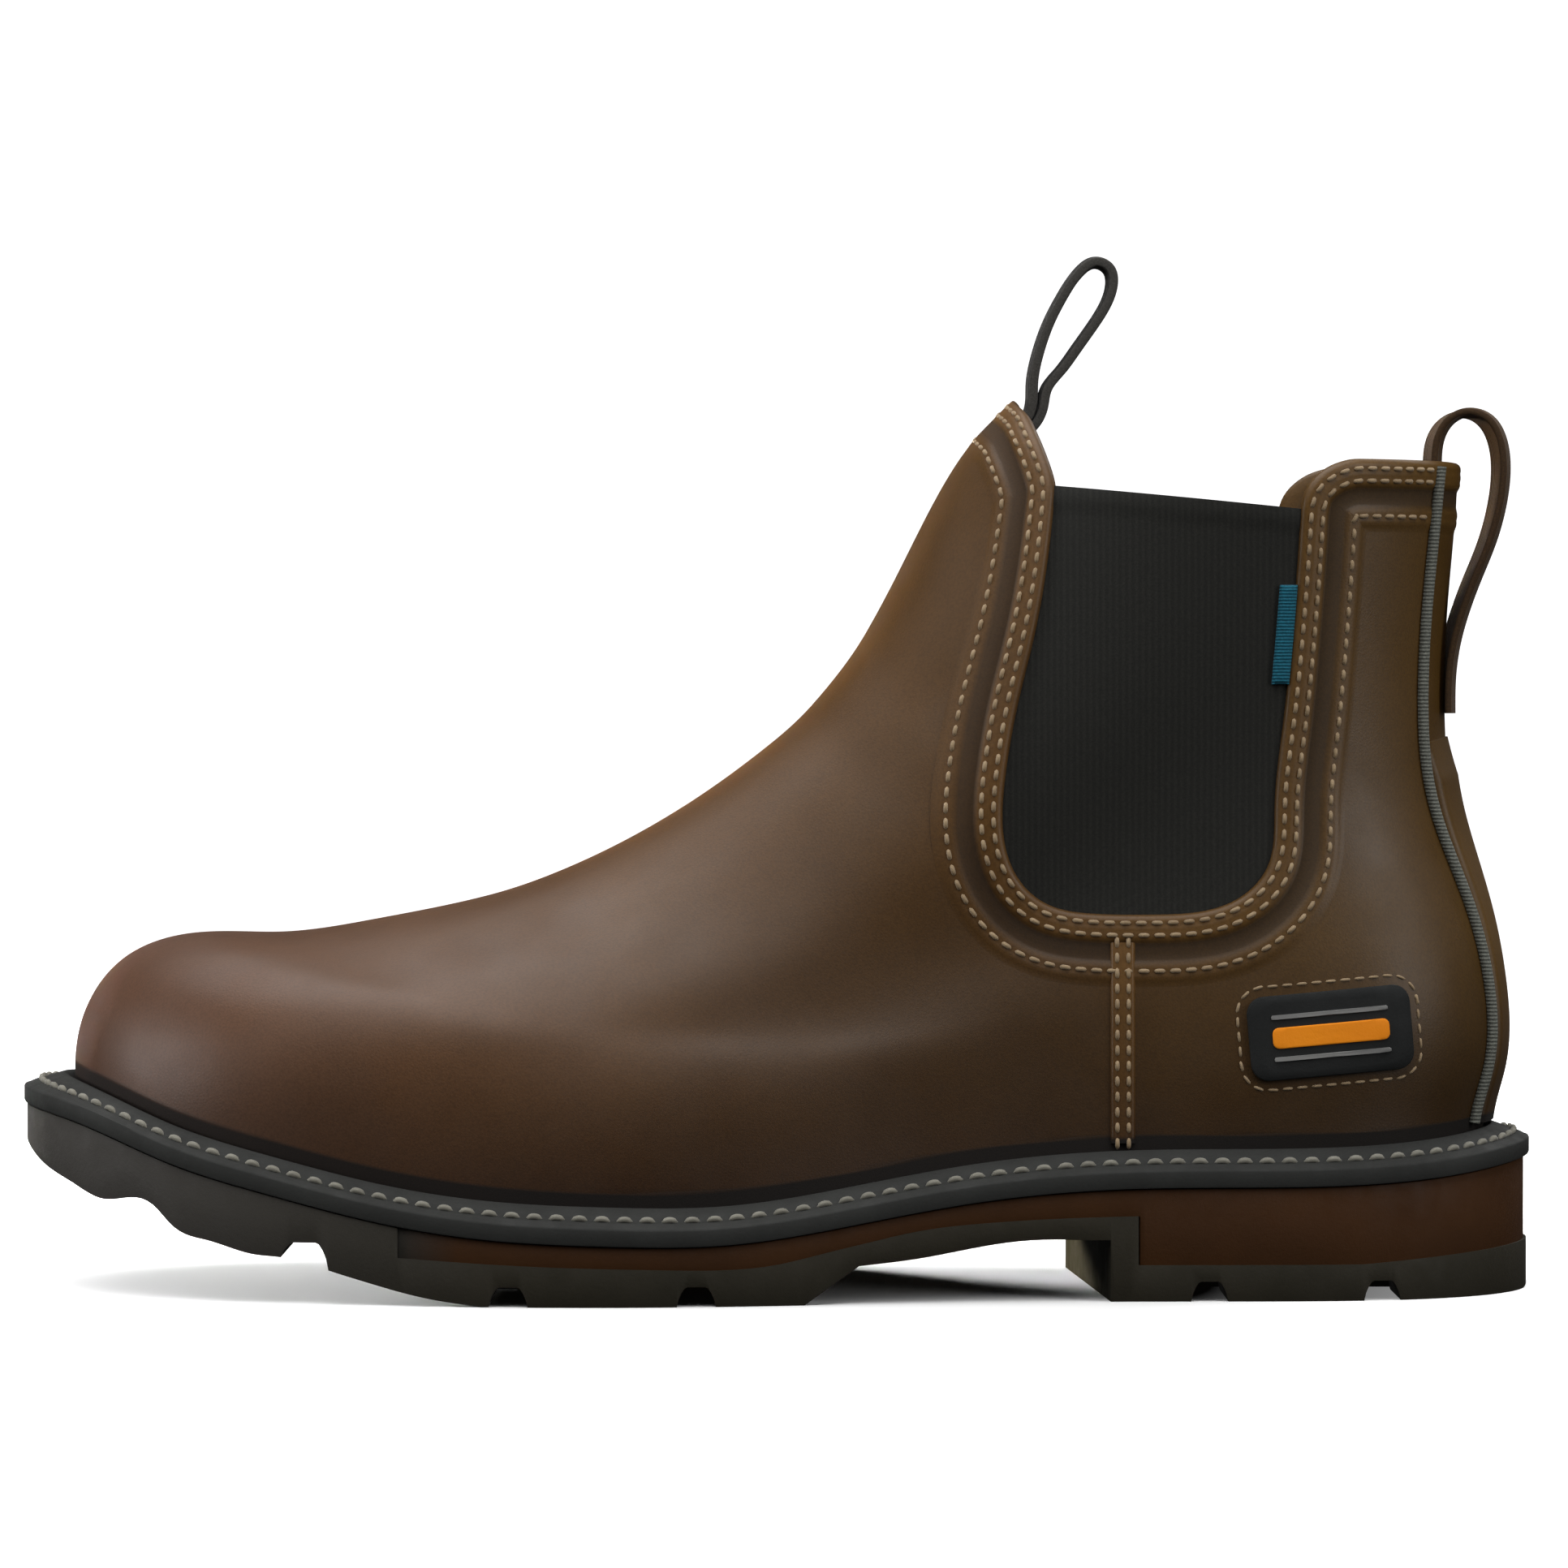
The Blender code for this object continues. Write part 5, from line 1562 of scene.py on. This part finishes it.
@dataclass
class BackTrim:
    """The stay down the back and the piping on each side of it."""

    last: Last
    finishes: Finishes
    half_width: float = 0.0175
    thickness: float = 0.0016
    top: float = 0.1132
    taper: float = 0.055
    tone: float = 0.35
    tone_fade: float = 0.040
    radius: float = 0.0011
    heel_x: float = 0.146

    def v_at(self, height: float) -> float:
        """Return v at a height on the back's centre line."""
        ups = np.linspace(0, 1, 500)
        heights = self.last.surface(np.full_like(ups, math.pi), ups)[:, 2]
        return float(np.interp(height, heights, ups))

    def make_stay(self) -> bpy.types.Object:
        """Make the leather stay with rounded edges."""
        low = self.v_at(float(self.last.feather(self.heel_x)) + 0.0002)
        ups = np.linspace(low, self.v_at(self.top), 70)
        half = self.half_width - self.radius - self.last.gap
        spread = np.linspace(-1, 1, 41)
        angle = math.pi + spread[:, None] * self.last.back_angle(ups, half)[None, :]
        up = np.broadcast_to(ups, angle.shape)
        round_side = np.clip((1 - np.abs(spread)) / 0.08, 0, 1)**0.5
        below_top = np.clip((ups[-1] - ups) / self.taper, 0, 1)
        lift = self.thickness * np.minimum(round_side[:, None], 0.10 + 0.90 * below_top[None, :])
        points, faces = ribbon_faces(self.last.layer(angle, up, self.last.gap + lift),
                                     self.last.layer(angle, up, 0.0 * lift))
        stay = build_mesh("heel_stay", points, faces, [self.finishes.leather], 60.0)
        return stay

    def make_piping(self, side: Side) -> bpy.types.Object:
        """Make one strand of piping."""
        low = self.v_at(float(self.last.feather(self.heel_x)) + 0.0003)
        ups = np.linspace(low, self.v_at(self.last.collar_height - self.radius), 90)
        angle = side.value * (math.pi - self.last.back_angle(ups, self.half_width))
        centres = self.last.layer(angle, ups, self.radius * 0.8)
        return tube(f"piping_cord_{side.name.lower()}", centres, self.radius, 12, self.finishes.piping)

    def build(self, upper: Upper) -> list[bpy.types.Object]:
        """Make the stay and both strands."""
        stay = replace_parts(self.make_stay(), "back_stay")
        heights = np.array([vertex.co.z for vertex in stay.data.vertices])
        upper.mark_tones(stay, np.interp(heights, (self.top - self.tone_fade, self.top), (self.tone, 0.0)))
        pieces = [stay]
        names = {Side.OUTER: "piping_outer", Side.INNER: "piping_inner"}
        for side in Side:
            pieces.append(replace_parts(self.make_piping(side), names[side]))
        return pieces


@dataclass
class SideSeam:
    """The raised strip over the seam between vamp and quarter."""

    last: Last
    finishes: Finishes
    place: float = 0.0702
    width: float = 0.0050
    lift: float = 0.0008
    sunk: float = 0.0004
    stitch_share: float = 0.23
    tone: float = 0.85

    def build(self, upper: Upper) -> list[bpy.types.Object]:
        """Make the strip and its two stitch rows on both sides."""
        pieces = []
        edge = self.last.gore_edge(0.0)
        top = edge[:, 1].min() - 0.0052
        names = {Side.OUTER: "seam_strip_outer", Side.INNER: "seam_strip_inner"}
        for side in Side:
            heights = np.linspace(float(self.last.feather(self.place)) + 0.0002, top, 60)
            across = np.linspace(-0.5, 0.5, 17)
            places = np.array([(self.place + a * self.width, z) for a in across for z in heights])
            angle, v = self.last.find(places, side)
            angle = angle.reshape(len(across), len(heights))
            v = v.reshape(angle.shape)
            crown = np.clip((0.5 - np.abs(across)) / 0.10, 0, 1)**0.6
            shares = (-self.stitch_share, self.stitch_share)
            dip = 0.35 * sum(bump_row(across, share, 0.1) for share in shares)
            lift = (self.lift * (crown - dip * 0.5))[:, None] * np.ones(len(heights))
            under = self.last.layer(angle, v, -self.sunk)
            points, faces = ribbon_faces(self.last.layer(angle, v, lift), under)
            strip = build_mesh(f"side_seam_{side.name.lower()}", points, faces, [self.finishes.leather], 60.0)
            upper.mark_tones(strip, self.tone)
            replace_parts(strip, names[side])
            rows = []
            for share in shares:
                line = np.stack((np.full_like(heights, self.place + share * self.width), heights), axis=1)
                a, u = self.last.find(line, side)
                normals = self.last.normal(a, u)
                rows.append((self.last.surface(a, u) + normals * (self.lift * 0.85 + 0.0001), normals))
            pieces.append(strip)
            pieces.append(Stitcher().sew(f"seam_stitches_{side.name.lower()}", rows, upper.stitch_pitch,
                                         upper.stitch_length, upper.thread_radius, self.finishes.thread))
        return pieces


@dataclass
class HeelPatch:
    """The rubber patch on the outer heel, with plain raised bars and no words."""

    last: Last
    finishes: Finishes
    length: float = 0.0330
    height: float = 0.0170
    corner: float = 0.0035
    thickness: float = 0.0012
    place: tuple[float, float] = (0.1120, 0.0536)
    tilt: float = 5.0
    sunk: float = 0.0002
    bar_lift: float = 0.00035
    bar_foot: float = 0.0003
    bar_corner: float = 0.3
    stitch_gap: float = 0.0019
    stitch_pitch: float = 0.0030
    stitch_length: float = 0.0024
    thread_radius: float = 0.00030

    def to_side_view(self, flat: Points) -> Points:
        """Return side-view places of points in the patch's own length and height."""
        turn = math.radians(self.tilt)
        spin = np.array([[math.cos(turn), math.sin(turn)], [-math.sin(turn), math.cos(turn)]])
        return flat @ spin + self.place

    def rounded(self, size: tuple[float, float], corner: float, grow: float = 0.0) -> Points:
        """Make the closed outline of a rectangle with round corners.

        Args:
            size: its length and height.
            corner: its corner radius.
            grow: how far the outline is moved outward.

        Returns:
            The outline's points, the first one again at the end.
        """
        steps = 9
        outline = []
        for k, (sx, sz) in enumerate(((1, 1), (-1, 1), (-1, -1), (1, -1))):
            for step in range(steps + 1):
                turn = math.pi / 2 * (k + step / steps)
                outline.append((sx * (size[0] / 2 - corner) + (corner + grow) * math.cos(turn),
                                sz * (size[1] / 2 - corner) + (corner + grow) * math.sin(turn)))
        return np.array(outline + outline[:1])

    def pad(self, name: str, middle: tuple[float, float], size: tuple[float, float], corner: float,
            low: float, high: float, material: bpy.types.Material) -> bpy.types.Object:
        """Make a raised pad with round corners on the leather.

        Args:
            name: the object's name.
            middle: its middle in the patch's own length and height.
            size: its length and height.
            corner: its corner radius.
            low: how high its underside is above the leather.
            high: how high its top is.
            material: its material.

        Returns:
            The new object.
        """
        rings = ((1.0, 0.0), (1.0, 0.75), (0.985, 0.92), (0.96, 1.0), (0.8, 1.0), (0.5, 1.0), (0.2, 1.0))
        outline = even(self.rounded(size, corner), 0.0005)[:-1]
        points = []
        for share, rise in rings:
            shrink = 1 - share
            near = outline * share if share < 0.9 else outline - unit(outline) * shrink * 0.008
            angle, v = self.last.find(self.to_side_view(near + middle), Side.OUTER)
            points.append(self.last.layer(angle, v, low + (high - low) * rise))
        rows = np.array(points)
        count = rows.shape[1]
        middle_point = rows[-1].mean(axis=0)
        flat = np.vstack((rows.reshape(-1, 3), middle_point))
        faces = [tuple(f) for f in grid_faces(len(rings), count, False, True)]
        start = (len(rings) - 1) * count
        faces += [(start + i, start + (i + 1) % count, len(flat) - 1) for i in range(count)]
        return build_mesh(name, flat, faces, [material], 50.0)

    def build(self, upper: Upper) -> list[bpy.types.Object]:
        """Make the patch, its rim, its bars and the stitches round it."""
        whole = (self.length, self.height)
        base = self.pad("rubber_patch", (0, 0), whole, self.corner, -self.sunk, self.thickness,
                        self.finishes.patch_rubber)
        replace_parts(base, "heel_patch")
        high = self.thickness + self.bar_lift
        low = self.thickness - self.bar_foot
        pieces = [base]
        bars = (
            ("patch_bar_orange", (0.0, -0.0001), (0.0235, 0.0042), self.finishes.patch_orange),
            ("patch_bar_upper", (0.0, 0.0041), (0.0235, 0.0009), self.finishes.patch_grey),
            ("patch_bar_lower", (0.0, -0.0043), (0.0235, 0.0009), self.finishes.patch_grey),
        )
        for name, middle, size, material in bars:
            bar = self.pad(name, middle, size, min(size) * self.bar_corner, low, high, material)
            pieces.append(bar)
        line = even(self.rounded(whole, self.corner, self.stitch_gap), 0.0008)
        angle, v = self.last.find(self.to_side_view(line), Side.OUTER)
        normals = self.last.normal(angle, v)
        row = (self.last.surface(angle, v) + normals * 0.0001, normals)
        pieces.append(Stitcher().sew("patch_stitches", [row], self.stitch_pitch, self.stitch_length,
                                     self.thread_radius, self.finishes.thread))
        return pieces


@dataclass
class GoreTab:
    """The small folded tab at the rear edge of the outer gore."""

    last: Last
    finishes: Finishes
    width: float = 0.0034
    length: float = 0.0200
    middle: float = 0.1340
    lift: float = 0.0006
    sunk: float = 0.0010
    tucked: float = 0.0002
    end_round: float = 0.0008

    def build(self) -> list[bpy.types.Object]:
        """Make the tab."""
        edge = self.last.gore_edge(-2 * self.last.gap)
        rear = edge[len(edge) // 2:]
        heights = np.linspace(self.middle - self.length / 2, self.middle + self.length / 2, 40)
        rear_x = np.interp(heights, rear[:, 1], rear[:, 0]) + self.tucked
        across = np.linspace(0, 1, 13)
        places = np.array([(x - a * self.width, z) for a in across for x, z in zip(rear_x, heights)])
        angle, v = self.last.find(places, Side.OUTER)
        angle = angle.reshape(len(across), len(heights))
        v = v.reshape(angle.shape)
        crown = np.sin(np.clip(across, 0.0, 1.0) * math.pi)**0.5
        ends = np.clip(np.minimum(heights - heights[0], heights[-1] - heights) / self.end_round, 0, 1)**0.5
        lift = self.lift * np.minimum(np.maximum(crown, 0.2)[:, None], 0.2 + 0.8 * ends)
        under = self.last.layer(angle, v, -self.sunk)
        points, faces = ribbon_faces(self.last.layer(angle, v, lift), under)
        tab = build_mesh("teal_gore_tab", points, faces, [self.finishes.tab], 60.0)
        return [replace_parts(tab, "gore_tab")]


@dataclass
class PullLoop:
    """A loop of flat webbing along a side-view route."""

    name: str
    node: str
    slot: str
    route: tuple
    width: float
    thickness: float
    bow: float
    material: bpy.types.Material
    steps: int = 220
    sides: int = 44
    squareness: float = 0.35

    def build(self) -> list[bpy.types.Object]:
        """Make the webbing with thick rounded selvedges."""
        line = path(self.route)(np.linspace(0, 1, self.steps))
        tangent = unit(np.gradient(line, axis=0))
        normal = np.stack((-tangent[:, 1], tangent[:, 0]), axis=1)
        turn = np.linspace(0, 2 * math.pi, self.sides, endpoint=False)
        across = np.sign(np.cos(turn)) * np.abs(np.cos(turn))**self.squareness
        lift = np.sign(np.sin(turn)) * np.abs(np.sin(turn))**self.squareness
        lift = lift * (1 - 0.10 * np.cos(across * math.pi * 5)**2 * (np.abs(across) < 0.95))
        points = np.zeros((self.steps, len(turn), 3))
        for k in range(len(turn)):
            sag = self.bow * across[k]**2
            points[:, k, 0] = line[:, 0] + normal[:, 0] * lift[k] * self.thickness / 2 - sag
            points[:, k, 1] = across[k] * self.width / 2
            points[:, k, 2] = line[:, 1] + normal[:, 1] * lift[k] * self.thickness / 2
        count = len(turn)
        faces = [tuple(f) for f in grid_faces(self.steps, count, False, True)]
        faces += [tuple(range(count)), tuple(range((self.steps - 1) * count, self.steps * count))]
        loop = build_mesh(self.name, points.reshape(-1, 3), faces, [self.material], 60.0)
        return [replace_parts(loop, self.node)]


FRONT_ROUTE = (
    (0.0450, 0.1722), (0.0486, 0.1758), (0.0518, 0.1792), (0.0527, 0.1825), (0.0528, 0.1858),
    (0.0540, 0.1922), (0.0562, 0.1985), (0.0592, 0.2043), (0.0625, 0.2090), (0.0658, 0.2110),
    (0.0686, 0.2096), (0.0692, 0.2062), (0.0678, 0.2020), (0.0652, 0.1978), (0.0618, 0.1930),
    (0.0584, 0.1884), (0.0556, 0.1846), (0.0549, 0.1812), (0.0538, 0.1784), (0.0500, 0.1744),
    (0.0464, 0.1708),
)
BACK_ROUTE = (
    (0.1355, 0.1500), (0.1364, 0.1600), (0.1368, 0.1690), (0.1374, 0.1745), (0.1397, 0.1783),
    (0.1436, 0.1800), (0.1477, 0.1786), (0.1502, 0.1745), (0.1510, 0.1690), (0.1502, 0.1610),
    (0.1480, 0.1530), (0.1452, 0.1460), (0.1426, 0.1390), (0.1407, 0.1320), (0.1398, 0.1250),
    (0.1397, 0.1180),
)


@dataclass
class Studio:
    """The camera at the photo's angle, the floor and the lights."""

    photo_width: float = 1932.0
    scale: float = 5960.0
    middle_column: float = 955.0
    floor_row: float = 1582.0
    elevation: float = 0.8
    distance: float = 1.45
    sensor: float = 36.0
    floor_reach: float = 30.0
    floor_back: float = 2.0
    floor_bend: float = 1.0
    wall_height: float = 8.0
    ambient: float = 0.05
    # name, place, aim, width and height, watts, the beam's angle in degrees
    lights: tuple = (
        ("key", (-0.45, -1.2, 1.10), (0, 0, 0.08), (1.5, 0.9), 7.0, None),
        ("top", (-0.1, -0.1, 1.3), (0, 0, 0.05), (2.0, 1.3), 25.0, None),
        ("toe", (-0.90, -0.14, 0.18), (-0.12, -0.05, 0.045), (0.30, 0.24), 2.8, None),
        ("rear", (0.9, 0.9, 1.0), (0.05, 0, 0.1), (0.9, 0.7), 5.0, None),
        ("heel", (1.25, -0.9, 0.55), (0.1, 0, 0.08), (0.6, 0.8), 8.0, None),
        ("arch", (-0.55, 0.85, 0.12), (0.07, 0.03, 0.005), (0.3, 0.12), 1.7, 24.0),
    )

    def make_camera(self) -> None:
        """Place the camera so that the frame holds the boot as the photo does."""
        half = self.photo_width / 2
        target_x = (half - self.middle_column) / self.scale
        target_z = (self.floor_row - half) / self.scale
        camera_data = bpy.data.cameras.new("camera")
        camera = bpy.data.objects.new("camera", camera_data)
        bpy.context.scene.collection.objects.link(camera)
        turn = math.radians(self.elevation)
        away = self.distance * math.cos(turn)
        camera.location = (target_x, -away, target_z + self.distance * math.sin(turn))
        camera.rotation_euler = (math.pi / 2 - turn, 0, 0)
        camera_data.sensor_width = self.sensor
        camera_data.lens = self.sensor * self.distance / (self.photo_width / self.scale)
        bpy.context.scene.camera = camera

    def light(self, name: str, place: tuple, aim: tuple, size: tuple, power: float,
              spread: float | None = None) -> None:
        """Add a soft rectangular light.

        Args:
            name: the light's name.
            place: where it is.
            aim: the point that it faces.
            size: its width and height.
            power: its power in watts.
            spread: the full angle of its beam in degrees; such a beam doesn't show in reflections.
        """
        data = bpy.data.lights.new(name, "AREA")
        data.shape = "RECTANGLE"
        data.size, data.size_y = size
        data.energy = power
        lamp = bpy.data.objects.new(name, data)
        bpy.context.scene.collection.objects.link(lamp)
        away = np.array(place, float) - np.array(aim, float)
        lamp.location = place
        if spread is not None:
            data.spread = math.radians(spread)
            lamp.visible_glossy = False
        flat = math.hypot(away[0], away[1])
        lamp.rotation_euler = (math.atan2(flat, away[2]), 0, math.atan2(away[0], -away[1]))

    def build(self) -> None:
        """Make the studio."""
        self.make_camera()
        self.make_floor()
        for row in self.lights:
            self.light(*row)
        world = bpy.data.worlds.new("studio")
        bpy.context.scene.world = world
        world.use_nodes = True
        background = world.node_tree.nodes["Background"]
        background.inputs["Color"].default_value = (1.0, 1.0, 1.0, 1.0)
        background.inputs["Strength"].default_value = self.ambient
        bpy.context.scene.view_settings.view_transform = "Standard"

    def make_floor(self) -> None:
        """Make the pale floor, which curves up into a pale wall behind the boot."""
        turns = np.linspace(0, math.pi / 2, 24)
        line = [(-self.floor_reach, 0.0)]
        line += [(self.floor_back + self.floor_bend * math.sin(turn), self.floor_bend * (1 - math.cos(turn)))
                 for turn in turns]
        line.append((self.floor_back + self.floor_bend, self.wall_height))
        points = np.array([(x, y, z) for y, z in line for x in (-self.floor_reach, self.floor_reach)])
        floor = build_mesh("studio_floor", points, grid_faces(len(line), 2), [FloorFinish().make()])
        floor.visible_diffuse = False
        floor.visible_glossy = False


def main() -> None:
    """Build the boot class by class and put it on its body."""
    logging.basicConfig(level=logging.INFO, format="%(name)s: %(message)s")
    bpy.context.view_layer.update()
    last = Last()
    finishes = Finishes()
    Studio().build()
    upper = Upper(last, finishes)
    loops = (
        PullLoop("front_webbing_loop", "pull_loop_front", "front_webbing", FRONT_ROUTE, width=0.0100,
                 thickness=0.0023, bow=-0.0005, material=finishes.front_web),
        PullLoop("back_webbing_loop", "pull_loop_back", "back_webbing", BACK_ROUTE, width=0.0200,
                 thickness=0.0018, bow=0.0016, material=finishes.back_web),
    )
    pieces = upper.build()
    pieces += Gores(last, finishes).build()
    pieces += Sole(last, finishes).build()
    pieces += Insole(last, finishes).build()
    pieces += BackTrim(last, finishes).build(upper)
    pieces += SideSeam(last, finishes).build(upper)
    pieces += HeelPatch(last, finishes).build(upper)
    pieces += GoreTab(last, finishes).build()
    for loop in loops:
        pieces += loop.build()
    for piece in pieces:
        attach(piece, "root")
        LOG.info("%s: %d faces", piece.name, len(piece.data.polygons))


if __name__ == "__main__":
    main()
